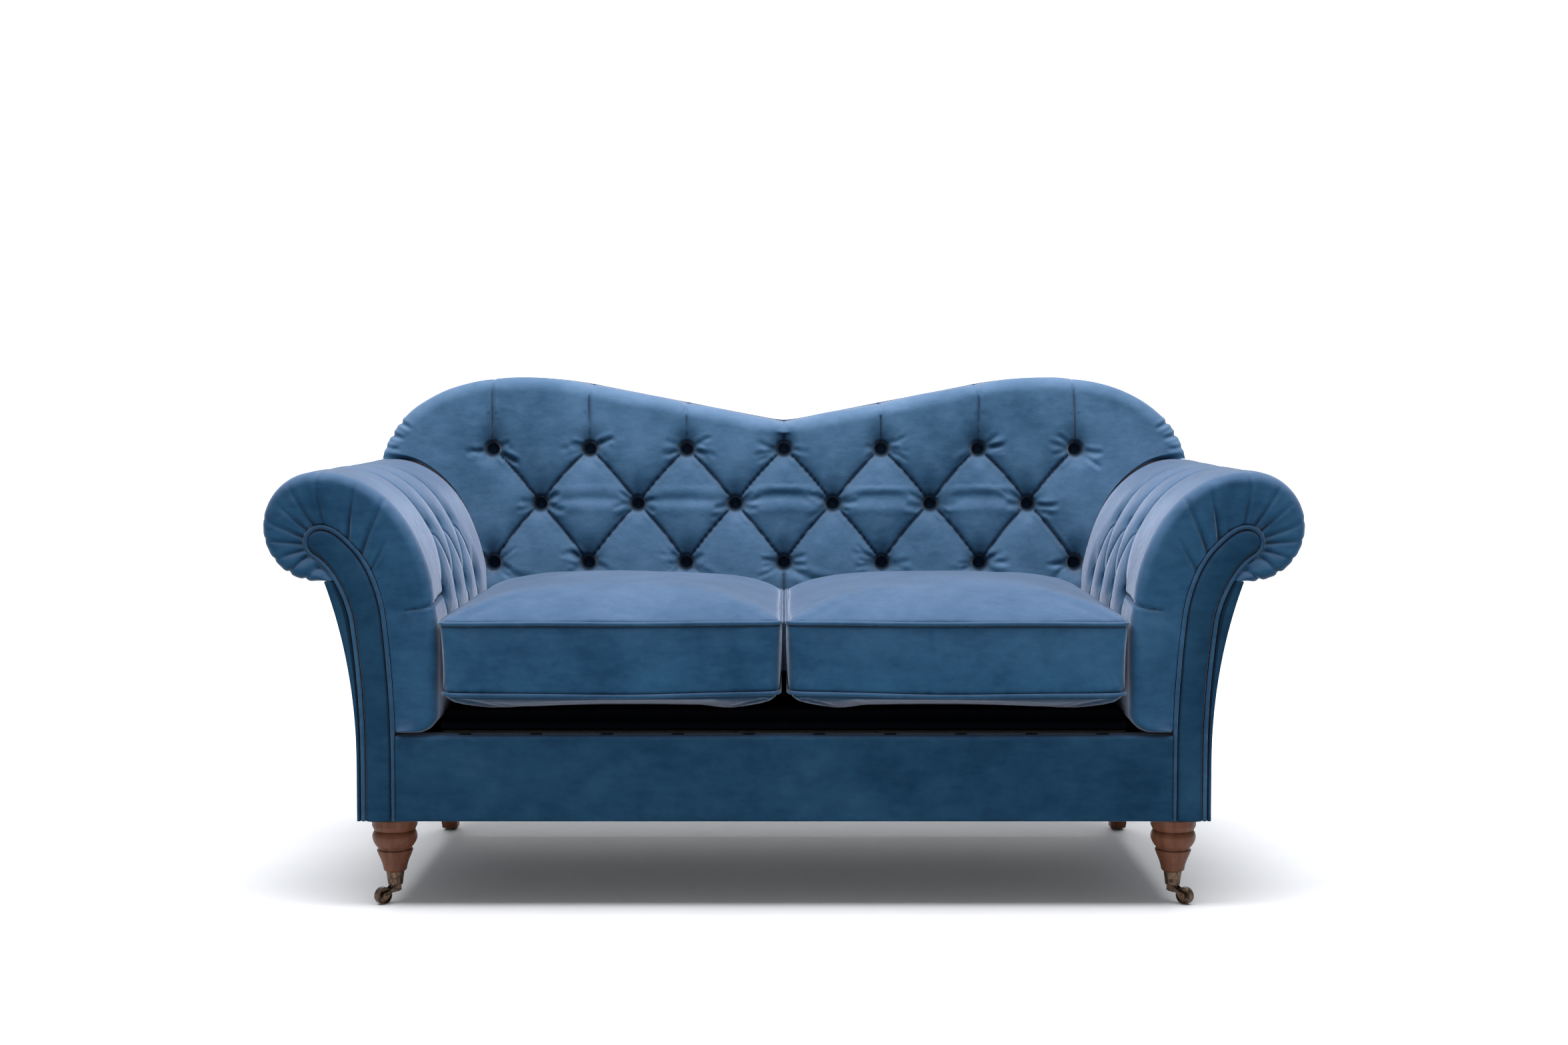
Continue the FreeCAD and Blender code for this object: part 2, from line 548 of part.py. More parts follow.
def rounded(x0, x1, y0, y1, z, r):
    """Closed rectangle with round corners in a level plane."""
    k = r * (1 - sqrt(0.5))
    edges = [line(V(x0 + r, y0, z), V(x1 - r, y0, z)),
             Part.Arc(V(x1 - r, y0, z), V(x1 - k, y0 + k, z), V(x1, y0 + r, z)).toShape(),
             line(V(x1, y0 + r, z), V(x1, y1 - r, z)),
             Part.Arc(V(x1, y1 - r, z), V(x1 - k, y1 - k, z), V(x1 - r, y1, z)).toShape(),
             line(V(x1 - r, y1, z), V(x0 + r, y1, z)),
             Part.Arc(V(x0 + r, y1, z), V(x0 + k, y1 - k, z), V(x0, y1 - r, z)).toShape(),
             line(V(x0, y1 - r, z), V(x0, y0 + r, z)),
             Part.Arc(V(x0, y0 + r, z), V(x0 + k, y0 + k, z), V(x0 + r, y0, z)).toShape()]
    return Part.Wire(edges)


def cushions():
    inset = PIPING_RADIUS
    x0, x1 = CUSHION_IN + inset, CUSHION_OUT - inset
    y0, y1 = FRONT + inset, CUSHION_REAR - inset
    shrink_top = ((0, CUSHION_TOP), (55, CUSHION_TOP + CUSHION_CROWN * 0.62),
                  (150, CUSHION_TOP + CUSHION_CROWN))
    shrink_low = ((150, DECK_TOP + FIT), (55, DECK_TOP + FIT + 12), (0, CUSHION_LOW))
    wires = [rounded(x0 + s, x1 - s, y0 + s, y1 - s, z, CORNER) for s, z in shrink_low + shrink_top]
    pad = Part.makeLoft(wires, True, True)
    for z in (CUSHION_TOP, CUSHION_LOW):
        groove = piping_ring(z, PIPING_RADIUS + 0.3)
        pad = pad.cut(groove)
    pipes = [piping_ring(z, PIPING_RADIUS) for z in (CUSHION_TOP, CUSHION_LOW)]
    middle = (CUSHION_TOP + CUSHION_LOW) / 2
    tape_y = CUSHION_REAR - inset
    tape = box(x0 + 40, x1 - 40, tape_y, tape_y + 0.6, middle - 12, middle + 12)
    chain = box(x0 + 45, x1 - 45, tape_y + 0.6, tape_y + 2.4, middle - 2.5, middle + 2.5)
    start = x0 + 52
    slider = box(start - 5.5, start + 5.5, tape_y + 0.9, tape_y + 4.4, middle - 4.5, middle + 4.5)
    slider = slider.cut(box(start - 6, start + 6, tape_y, tape_y + 2.7, middle - 2.8, middle + 2.8))
    tab = box(start - 2.5, start + 2.5, tape_y + 4.4, tape_y + 5.4, middle - 22, middle + 3)
    for name, turn in (("right", False), ("left", True)):
        def side(s):
            return other_side(s) if turn else s
        keep("seat_cushion_" + name, side(pad))
        keep("cushion_piping_" + name, *[side(p) for p in pipes])
        keep("cushion_zip_" + name, side(tape), side(chain))
        keep("zip_slider_" + name, side(slider.fuse(tab).removeSplitter()))


def piping_ring(z, r):
    inset = PIPING_RADIUS
    path = rounded(CUSHION_IN + inset, CUSHION_OUT - inset, FRONT + inset, CUSHION_REAR - inset, z, CORNER)
    start = path.OrderedVertexes[0].Point
    return path.makePipeShell([Part.Wire(Part.makeCircle(r, start, V(1, 0, 0)))], True, True)


# ================================================================ legs
LEG_TOP = FRAME_HEIGHT - PLATE
CUP_FOOT = 2 * WHEEL_RADIUS + 2.0
CUP_HEIGHT = 23.0
CUP_MOUTH = CUP_FOOT + CUP_HEIGHT
CUP_TOP_RADIUS = 15.8
CUP_FOOT_RADIUS = 12.7
CUP_WALL = 1.6
LEG_COLLAR = 12.5            # straight band at the top of a front leg


def turned_leg():
    """Turned front leg: flared collar, bulb, ring and taper, with a spigot for the caster cup."""
    top = LEG_TOP
    shoulder = LEG_TOP - LEG_COLLAR

    def h(share):
        return shoulder - (shoulder - CUP_MOUTH) * share
    r = LEG_TOP_RADIUS
    collar = spline([V(r, 0, shoulder), V(r * 0.955, 0, h(0.05)), V(r * 0.91, 0, h(0.092))])
    bulb = spline([V(r * 0.905, 0, h(0.118)), V(r * 0.992, 0, h(0.24)), V(r * 0.93, 0, h(0.36)),
                   V(r * 0.762, 0, h(0.475))])
    taper = spline([V(r * 0.79, 0, h(0.555)), V(r * 0.665, 0, h(0.70)), V(r * 0.565, 0, h(0.83)),
                    V(r * 0.52, 0, h(0.925))])
    ring = Part.Arc(V(r * 0.755, 0, h(0.515)), V(r * 0.797, 0, h(0.535)),
                    V(r * 0.79, 0, h(0.555))).toShape()
    ends = [collar.Vertexes[-1].Point, bulb.Vertexes[0].Point, bulb.Vertexes[-1].Point]
    groove_1 = [V(r * 0.87, 0, h(0.095)), V(r * 0.87, 0, h(0.115))]
    groove_2 = [V(r * 0.725, 0, h(0.478)), V(r * 0.725, 0, h(0.512))]
    spigot_top, spigot_foot = CUP_TOP_RADIUS - CUP_WALL - 0.2, CUP_FOOT_RADIUS - CUP_WALL - 0.2
    toe = Part.Arc(V(r * 0.52, 0, h(0.925)), V(r * 0.48, 0, h(0.975)),
                   V(CUP_TOP_RADIUS, 0, CUP_MOUTH + 0.3)).toShape()
    outline = [line(V(0, 0, top), V(r - 1.5, 0, top)), line(V(r - 1.5, 0, top), V(r, 0, top - 1.5)),
               line(V(r, 0, top - 1.5), V(r, 0, shoulder)), collar,
               line(ends[0], groove_1[0]), line(*groove_1), line(groove_1[1], ends[1]), bulb,
               line(ends[2], groove_2[0]), line(*groove_2), line(groove_2[1], V(r * 0.755, 0, h(0.515))),
               ring, taper, toe,
               line(V(CUP_TOP_RADIUS, 0, CUP_MOUTH + 0.3), V(spigot_top, 0, CUP_MOUTH + 0.3)),
               line(V(spigot_top, 0, CUP_MOUTH + 0.3), V(spigot_foot, 0, CUP_FOOT + 6)),
               line(V(spigot_foot, 0, CUP_FOOT + 6), V(0, 0, CUP_FOOT + 6)),
               line(V(0, 0, CUP_FOOT + 6), V(0, 0, top))]
    solid = face_of(outline).revolve(V(0, 0, 0), V(0, 0, 1), 360)
    solid = Part.makeSolid(solid) if not solid.Solids else solid.Solids[0]
    hole = Part.makeCylinder(BOLT_RADIUS + BOLT_CLEARANCE, BOLT_DOWN + 1, V(0, 0, top - BOLT_DOWN - 0.5))
    solid = solid.cut(hole)
    return solid


def rear_leg():
    """Square raked rear leg, tapering to the floor."""
    rake, top_half, foot_half = 42.0, 27.0, 15.0
    glide = 5.0

    def square(half, y, z):
        return Part.makePolygon([V(-half, y - half, z), V(half, y - half, z), V(half, y + half, z),
                                 V(-half, y + half, z),
                                 V(-half, y - half, z)])
    leg = Part.makeLoft([square(top_half, 0, LEG_TOP),
                         square((top_half + foot_half) / 2 - 1, rake * 0.36, LEG_TOP * 0.5),
                         square(foot_half, rake, glide)], True, False)
    hole = Part.makeCylinder(BOLT_RADIUS + BOLT_CLEARANCE, BOLT_DOWN + 1,
                             V(0, 0, LEG_TOP - BOLT_DOWN - 0.5))
    pin_hole = Part.makeCylinder(1.5, 14, V(0, rake, glide - 0.5))
    foot = Part.makeCone(10.5, 12.0, 1.5,
                         V(0, rake, 0)).fuse(Part.makeCylinder(12.0, glide - 1.5, V(0, rake, 1.5)))
    nail = Part.makeCylinder(1.3, 12, V(0, rake, glide - 0.2))
    return leg.cut(hole).cut(pin_hole), foot.fuse(nail).removeSplitter()


def legs():
    def at(shape, x, y):
        moved = shape.copy()
        moved.translate(V(x, y, 0))
        return moved

    front = at(turned_leg(), LEG_X, FRONT_LEG_Y)
    keep_pair("front_leg", front)
    leg, glide = rear_leg()
    leg, glide = at(leg, LEG_X, REAR_LEG_Y), at(glide, LEG_X, REAR_LEG_Y)
    keep_pair("rear_leg", leg)
    keep("rear_glides", glide, other_side(glide))
    plates, bolts = [], []
    for y, half in ((FRONT_LEG_Y, 41.5), (REAR_LEG_Y, 28.0)):
        plate = box(LEG_X - half, LEG_X + half, y - half, y + half, LEG_TOP, FRAME_HEIGHT)
        corners = [e for e in plate.Edges if abs(e.Vertexes[0].Z - e.Vertexes[1].Z) > 1]
        plate = plate.makeFillet(8.0, corners)
        plates.append(plate.cut(Part.makeCylinder(BOLT_RADIUS + BOLT_CLEARANCE, 400, V(LEG_X, y, 0))))
        bolts.append(Part.makeCylinder(BOLT_RADIUS, BOLT_UP + BOLT_DOWN, V(LEG_X, y, LEG_TOP - BOLT_DOWN)))
    keep("leg_plates", *plates, *[other_side(p) for p in plates])
    keep("leg_bolts", *bolts, *[other_side(b) for b in bolts])


# ================================================================ casters
PIN_RADIUS = 3.0
AXLE_RADIUS = 2.0
CHEEK = 2.5
CHEEK_IN = WHEEL_WIDTH / 2 + 0.7


def casters():
    """Right-hand caster, made with its trail along +X and its axle along Y, then turned and mirrored."""
    cup = Part.makeCone(CUP_FOOT_RADIUS, CUP_TOP_RADIUS, CUP_HEIGHT, V(0, 0, CUP_FOOT))
    hollow = Part.makeCone(CUP_FOOT_RADIUS - CUP_WALL, CUP_TOP_RADIUS - CUP_WALL, CUP_HEIGHT,
                           V(0, 0, CUP_FOOT))
    hollow = hollow.common(box(-50, 50, -50, 50, CUP_FOOT + 2.5, CUP_MOUTH + 1))
    cup = cup.cut(hollow).cut(Part.makeCylinder(PIN_RADIUS + 0.02, 40, V(0, 0, CUP_FOOT - 5)))

    boss_foot = WHEEL_RADIUS + 5.0
    pin = Part.makeCylinder(PIN_RADIUS, CUP_FOOT + 4.0 - boss_foot + 2.0, V(0, 0, boss_foot - 2.0))
    pin = pin.fuse(Part.makeCylinder(PIN_RADIUS + 2.0, 1.0, V(0, 0, CUP_FOOT + 2.6)))
    pin = pin.fuse(Part.makeCone(2.6, 4.6, 2.2, V(0, 0, boss_foot - 2.4))).removeSplitter()

    boss = Part.makeCylinder(8.0, CUP_FOOT - FIT - boss_foot, V(0, 0, boss_foot))
    cheek_outer = [V(-6.5, 0, CUP_FOOT - 1.5), V(3.5, 0, CUP_FOOT - 1.5), V(12, 0, WHEEL_RADIUS * 2 - 4.5),
                   V(TRAIL, 0, WHEEL_RADIUS + 5.8)]
    round_end = Part.Arc(V(TRAIL, 0, WHEEL_RADIUS + 5.8), V(TRAIL + 5.8, 0, WHEEL_RADIUS),
                         V(TRAIL, 0, WHEEL_RADIUS - 5.8)).toShape()
    under = [V(TRAIL, 0, WHEEL_RADIUS - 5.8), V(TRAIL - 7, 0, WHEEL_RADIUS - 1.5),
             V(TRAIL - 13, 0, boss_foot - 0.5),
             V(-6.5, 0, boss_foot + 2)]
    outline = face_of([line(cheek_outer[0], cheek_outer[1]),
                       spline(cheek_outer[1:], V(1, 0, -0.1), V(1, 0, -0.5)), round_end,
                       spline(under[:3], V(-1, 0, 0.2), V(-1, 0, 0.5)), line(under[2], under[3]),
                       line(under[3], cheek_outer[0])])
    cheeks = [prism(outline, CHEEK_IN, CHEEK_IN + CHEEK), prism(outline, -CHEEK_IN - CHEEK, -CHEEK_IN)]
    bridge = box(-6.5, 6.5, -CHEEK_IN - CHEEK, CHEEK_IN + CHEEK, boss_foot + 3, CUP_FOOT - 1.5)
    horn = boss.fuse([bridge] + cheeks).removeSplitter()
    horn = horn.cut(Part.makeCylinder(PIN_RADIUS + RUNNING, 60, V(0, 0, 0)))
    horn = horn.cut(Part.makeCylinder(AXLE_RADIUS + 0.03, 60, V(TRAIL, -30, WHEEL_RADIUS), V(0, 1, 0)))

    half = WHEEL_WIDTH / 2
    bore = AXLE_RADIUS + RUNNING
    R = WHEEL_RADIUS
    profile = [(bore, -half), (5.2, -half), (5.2, -half + 3.2), (R - 3.0, -half + 3.2), (R - 2.2, -half),
               (R - 1.2, -half),
               (R, -half + 1.4), (R, half - 1.4), (R - 1.2, half), (R - 2.2, half), (R - 3.0, half - 3.2),
               (5.2, half - 3.2),
               (5.2, half), (bore, half)]
    points = [V(r, a, 0) for r, a in profile]
    wheel = Part.Face(Part.makePolygon(points + points[:1])).revolve(V(0, 0, 0), V(0, 1, 0), 360)
    wheel = wheel.Solids[0] if wheel.Solids else Part.makeSolid(wheel)
    wheel.translate(V(TRAIL, 0, R))

    reach = CHEEK_IN + CHEEK
    axle = Part.makeCylinder(AXLE_RADIUS, 2 * reach + 1, V(TRAIL, -reach - 0.5, R), V(0, 1, 0))
    for way in (1, -1):
        axle = axle.fuse(Part.makeCone(3.4, 2.4, 1.3, V(TRAIL, way * (reach + 0.05), R), V(0, way, 0)))
    axle = axle.removeSplitter()

    def set_down(shape):
        """Turns the trail outwards and forwards, and puts the caster under its leg."""
        moved = shape.copy()
        moved.rotate(V(0, 0, 0), V(0, 0, 1), -CASTER_TURN)
        moved.translate(V(LEG_X, FRONT_LEG_Y, 0))
        return moved

    pins = set_down(pin)
    keep("caster_pivots", pins, other_side(pins))
    for name, shape in (("caster_cup", cup), ("caster_horn", horn), ("caster_wheel", wheel),
                        ("caster_axle", axle)):
        keep_pair(name, set_down(shape))


frame_parts()
suspension()
upholstery()
cushions()
legs()
casters()
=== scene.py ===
"""Looks of a two-seat velvet sofa: buttoned double-humped back, scroll arms, turned legs on cup casters.

Metres, +X to the viewer's right, +Y to the back, +Z up, origin on the floor under the middle of the sofa.
Sizes inside a section are in millimetres where their names end in _mm.
"""
import math
import bpy
import numpy as np
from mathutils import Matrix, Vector


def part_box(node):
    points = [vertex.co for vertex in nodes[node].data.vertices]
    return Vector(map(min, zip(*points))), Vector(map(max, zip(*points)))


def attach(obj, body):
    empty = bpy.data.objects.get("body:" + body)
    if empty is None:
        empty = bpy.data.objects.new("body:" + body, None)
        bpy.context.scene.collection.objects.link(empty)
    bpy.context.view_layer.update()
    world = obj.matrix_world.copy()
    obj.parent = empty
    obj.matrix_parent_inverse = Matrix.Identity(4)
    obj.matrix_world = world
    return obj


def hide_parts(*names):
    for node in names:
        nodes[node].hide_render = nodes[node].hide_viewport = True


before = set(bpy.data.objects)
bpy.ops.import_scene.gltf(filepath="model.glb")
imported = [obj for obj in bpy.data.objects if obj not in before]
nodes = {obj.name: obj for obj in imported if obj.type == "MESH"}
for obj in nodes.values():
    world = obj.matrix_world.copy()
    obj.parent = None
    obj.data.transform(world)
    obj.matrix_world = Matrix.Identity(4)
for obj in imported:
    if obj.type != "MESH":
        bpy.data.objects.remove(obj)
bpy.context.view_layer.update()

bpy.ops.object.select_all(action="DESELECT")

# ================================================================ room: floor sweep, lamps, camera
# A seamless pale paper sweep under and behind the sofa, with a wide soft lamp above, a weak one in front
# and an even white surround, as in a furniture studio.
bpy.ops.mesh.primitive_plane_add(size=14, location=(0, 0, 0))
sweep = bpy.context.object
sweep.name = "paper_sweep"
bpy.ops.object.mode_set(mode="EDIT")
bpy.ops.mesh.select_mode(type="EDGE")
bpy.ops.mesh.select_all(action="DESELECT")
bpy.ops.object.mode_set(mode="OBJECT")
for edge in sweep.data.edges:
    edge.select = all(sweep.data.vertices[v].co.y > 6.9 for v in edge.vertices)
bpy.ops.object.mode_set(mode="EDIT")
bpy.ops.mesh.extrude_region_move(TRANSFORM_OT_translate={"value": (0, 0, 8)})
bpy.ops.mesh.select_all(action="SELECT")
bpy.ops.mesh.bevel(offset=2.2, segments=14, affect="EDGES")
bpy.ops.object.mode_set(mode="OBJECT")
bpy.ops.object.shade_smooth()


class Finish:
    """A material under construction: its nodes, and the shader's constant settings on their own sockets."""

    def __init__(self, name, **constants):
        self.material = bpy.data.materials.new(name)
        self.material.use_nodes = True
        self.tree = self.material.node_tree
        self.shader = self.tree.nodes["Principled BSDF"]
        for socket, value in constants.items():
            self.shader.inputs[socket.replace("_", " ")].default_value = value

    def node(self, kind, settings=None, **values):
        """Adds a node of a type, sets its settings first, then its sockets' values or links."""
        made = self.tree.nodes.new("ShaderNode" + kind)
        for key, value in (settings or {}).items():
            if key == "stops":
                ramp = made.color_ramp
                while len(ramp.elements) < len(value):
                    ramp.elements.new(0.5)
                for element, (place, colour) in zip(ramp.elements, value):
                    element.position = place
                    element.color = colour if hasattr(colour, "__len__") else (colour, colour, colour, 1)
            else:
                setattr(made, key, value)
        for key, value in values.items():
            key = int(key[1:]) if key[0] == "_" else key.replace("_", " ")
            if isinstance(value, Signal):
                self.tree.links.new(value.socket, made.inputs[key])
            else:
                made.inputs[key].default_value = value
        return made

    def signal(self, made, output=0):
        return Signal(self, made.outputs[output])

    def mix(self, share, first, second):
        """Mixes two colours by a share of 0 to 1."""
        return self.signal(self.node("Mix", {"data_type": "RGBA"}, _0=share, _6=first, _7=second), 2)

    def noise(self, where, scale, detail=3.0, roughness=0.55):
        made = self.node("TexNoise", None, Vector=where, Scale=scale, Detail=detail, Roughness=roughness)
        return self.signal(made, "Fac" if "Fac" in made.outputs else 0)

    def place(self, scale=(1, 1, 1), turn=(0, 0, 0)):
        """The piece's own coordinates, stretched and turned."""
        where = self.signal(self.node("TexCoord"), "Object")
        return self.signal(self.node("Mapping", None, Vector=where, Scale=scale, Rotation=turn))

    def feed(self, socket, value):
        self.tree.links.new(value.socket, self.shader.inputs[socket])

    def bump(self, height, strength, distance, under=None):
        values = {"Height": height, "Strength": strength, "Distance": distance}
        if under is not None:
            values["Normal"] = under
        return self.signal(self.node("Bump", None, **values))


class Signal:
    """An output socket that sums, differences and products can be written with."""

    def __init__(self, finish, socket):
        self.finish, self.socket = finish, socket

    def _maths(self, operation, first, second):
        made = self.finish.node("Math", {"operation": operation}, _0=first, _1=second)
        return Signal(self.finish, made.outputs[0])

    def __add__(self, other):
        return self._maths("ADD", self, other)

    __radd__ = __add__

    def __sub__(self, other):
        return self._maths("SUBTRACT", self, other)

    def __rsub__(self, other):
        return self._maths("SUBTRACT", other, self)

    def __mul__(self, other):
        return self._maths("MULTIPLY", self, other)

    __rmul__ = __mul__

    def clamped(self, low, high):
        """0 at low, 1 at high, straight between and level beyond."""
        made = self.finish.node("MapRange", {"clamp": True}, _0=self, _1=low, _2=high)
        return Signal(self.finish, made.outputs[0])


paper = Finish("studio_paper", Roughness=0.9)
paper_tone = paper.noise(paper.place(), 3.0).clamped(0.3, 0.7)
paper.feed("Base Color", paper.mix(paper_tone, (0.90, 0.90, 0.91, 1), (0.94, 0.94, 0.94, 1)))
sweep.data.materials.append(paper.material)

surround = bpy.data.worlds.new("surround")
bpy.context.scene.world = surround
surround.use_nodes = True
surround.node_tree.nodes["Background"].inputs["Color"].default_value = (0.86, 0.93, 1.0, 1)
surround.node_tree.nodes["Background"].inputs["Strength"].default_value = 0.30
bpy.context.scene.view_settings.view_transform = "Standard"


def lamp(name, place, aim, size, power, colour=(1, 1, 1)):
    """A rectangular softbox aimed at a point."""
    light = bpy.data.lights.new(name, "AREA")
    light.shape = "RECTANGLE"
    light.size, light.size_y = size
    light.energy = power
    light.color = colour
    made = bpy.data.objects.new(name, light)
    bpy.context.scene.collection.objects.link(made)
    made.location = place
    made.rotation_euler = (Vector(aim) - Vector(place)).to_track_quat("-Z", "Y").to_euler()


lamp("top_softbox", (0, -0.35, 3.3), (0, -0.1, 0.4), (4.6, 2.2), 250, (0.98, 0.98, 1.0))
lamp("front_softbox", (-1.2, -5.0, 2.0), (0, 0, 0.5), (3.0, 2.0), 12, (1.0, 0.98, 0.95))
lamp("wall_wash", (0, 3.4, 4.4), (0, 7.0, 1.4), (7.0, 1.2), 420)

eye = bpy.data.cameras.new("camera")
eye.lens = 49.22
eye.sensor_width = 36.0
camera = bpy.data.objects.new("camera", eye)
bpy.context.scene.collection.objects.link(camera)
camera.location = (0, -4.08, 0.895)
camera.rotation_euler = (math.radians(90 - 3.523), 0, 0)
bpy.context.scene.camera = camera

# ================================================================ scroll arms
# Each arm is a plywood and webbing frame padded with fibre and cut foam, covered with velvet that is buttoned
# inside, carried round the scroll and gathered in radial pleats into the groove round the front panel.
MM = 0.001


def corners(node):
    """Lowest and highest corner of a CAD node, in millimetres."""
    low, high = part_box(node)
    return np.array(low) / MM, np.array(high) / MM


FRONT_MM = corners("arm_pad_right")[0][1]
INNER_MM = corners("arm_pad_right")[0][0]
OUT_MM = corners("arm_pad_right")[1][0]
ARM_TOP_MM = corners("arm_pad_right")[1][2]
ARM_FOOT_MM = corners("arm_pad_right")[0][2]
BODY_MM = corners("dust_cover")[1][0] + 12.0
ROLL_MM = 94.0
ROLL_X_MM = OUT_MM - ROLL_MM
ROLL_Z_MM = ARM_TOP_MM - ROLL_MM
WAIST_MM = ARM_TOP_MM - 275.0
FLARE_MM = ARM_FOOT_MM - 46.0
CORE_IN_MM = BODY_MM - 68.0
CORE_OUT_MM = BODY_MM - 7.0
HEAD_X_MM, HEAD_Z_MM, HEAD_R_MM = ROLL_X_MM - 8.0, ROLL_Z_MM - 27.0, 31.0
REAR_TOP_MM = corners("outside_back")[1][1]
HUMP_MM = corners("outside_back")[1][2]
LEAN = math.radians(11.0)
BACK_DEPTH_MM = 158.0        # face of the padding to the outside back, square to the lean
POST_REAR_MM = 149.0         # face to the rear of the back posts
PAD_REAR_MM = 108.5          # face to the rear of the back padding
SHOULDER_MM = 275.0          # height of the arm's swell over its waist
UNDER_SCROLL = -97.3         # angle where the scroll meets the outside of the arm
BUTTON_PIT_MM = 23.0
COVER_STEP_MM = 3.4          # spacing of the places that a buttoned cover is made of


def rear_mm(z):
    return REAR_TOP_MM - (HUMP_MM - z) * math.tan(LEAN)


def lean_mm(depth, z):
    """Y of the plane that lies a depth under the face of the back padding, at a height."""
    return rear_mm(z) - (BACK_DEPTH_MM - depth) / math.cos(LEAN)


def smooth(low, high, value):
    t = np.clip((value - low) / (high - low), 0, 1)
    return t * t * (3 - 2 * t)


def turn(centre, radius, start, end, count):
    """Points of an arc, angles in degrees from +X towards +Z."""
    a = np.radians(np.linspace(start, end, count))
    return np.column_stack([centre[0] + radius * np.cos(a), centre[1] + radius * np.sin(a)])


def curve(points, start, end, count=24):
    """A smooth line through points with given end directions."""
    p = np.array(points, float)
    chord = np.linalg.norm(np.diff(p, axis=0), axis=1)
    knots = np.concatenate([[0], np.cumsum(chord)])
    slopes = np.empty_like(p)
    slopes[1:-1] = (p[2:] - p[:-2]) / (knots[2:] - knots[:-2])[:, None]
    slopes[0] = np.array(start) / np.linalg.norm(start)
    slopes[-1] = np.array(end) / np.linalg.norm(end)
    found = [p[:1]]
    for i in range(len(p) - 1):
        t = np.linspace(0, 1, count + 1)[1:, None]
        h = chord[i]
        found.append((1 + 2 * t) * (1 - t) ** 2 * p[i] + t * (1 - t) ** 2 * h * slopes[i]
                     + t * t * (3 - 2 * t) * p[i + 1] + t * t * (t - 1) * h * slopes[i + 1])
    return np.vstack(found)


def length_along(path):
    return np.concatenate([[0], np.cumsum(np.linalg.norm(np.diff(path, axis=0), axis=1))])


def at_length(path, where):
    """Points of a path at distances from its start."""
    run = length_along(path)
    return np.column_stack([np.interp(where, run, path[:, k]) for k in range(path.shape[1])])


def core_line(inset=0.0, foot=None):
    """Walking-stick outline of the arm's front panel, from its foot inside, over the head and down again."""
    foot = corners("arm_front_panel_right")[0][2] if foot is None else foot
    r = HEAD_R_MM - inset
    end = math.radians(-60)
    lean_in, lean_out = HEAD_X_MM - CORE_IN_MM, HEAD_X_MM - CORE_OUT_MM
    inner = curve([(CORE_IN_MM + inset, FLARE_MM), (CORE_IN_MM + lean_in * 0.113 + inset, ROLL_Z_MM - 160),
                   (CORE_IN_MM + lean_in * 0.282 + inset * 0.9, ROLL_Z_MM - 81 - inset * 0.4),
                   (CORE_IN_MM + lean_in * 0.581 + inset * 0.6, ROLL_Z_MM - 26 - inset * 0.8),
                   (HEAD_X_MM, HEAD_Z_MM + r)], (0, 1), (1, 0))
    leave = (HEAD_X_MM + r * math.cos(end), HEAD_Z_MM + r * math.sin(end))
    outer = curve([leave, (CORE_OUT_MM + lean_out * 0.667 - inset, ROLL_Z_MM - 93),
                   (CORE_OUT_MM + lean_out * 0.254 - inset, ROLL_Z_MM - 165),
                   (CORE_OUT_MM - inset, FLARE_MM)], (math.sin(end), -math.cos(end)), (0, -1))
    head = turn((HEAD_X_MM, HEAD_Z_MM), r, 90, -60, 40)
    return np.vstack([[(CORE_IN_MM + inset, foot)], inner, head[1:-1], outer, [(CORE_OUT_MM - inset, foot)]])


def near_fold(place, path):
    """Distance from places on the cover to a fold, how far along it they are, and its nearest points."""
    a, step = path[:-1], np.diff(path, axis=0)
    size = (step ** 2).sum(1)
    away = place[:, None, :] - a[None]
    t = np.clip((away * step[None]).sum(2) / size, 0, 1)
    foot = a[None] + t[..., None] * step[None]
    gap = np.linalg.norm(place[:, None, :] - foot, axis=2)
    best = gap.argmin(1)
    rows = np.arange(len(place))
    run = length_along(path)
    along = (run[best] + t[rows, best] * np.sqrt(size[best])) / run[-1]
    return gap[rows, best], along, foot[rows, best]


def bowed(a, b, bow, count=14):
    """A line from a to b, bowed sideways by a distance; a positive bow lifts it along the second axis."""
    a, b = np.array(a, float), np.array(b, float)
    t = np.linspace(0, 1, count)[:, None]
    return a + (b - a) * t + np.array([0, 1.0]) * bow * 4 * t * (1 - t)


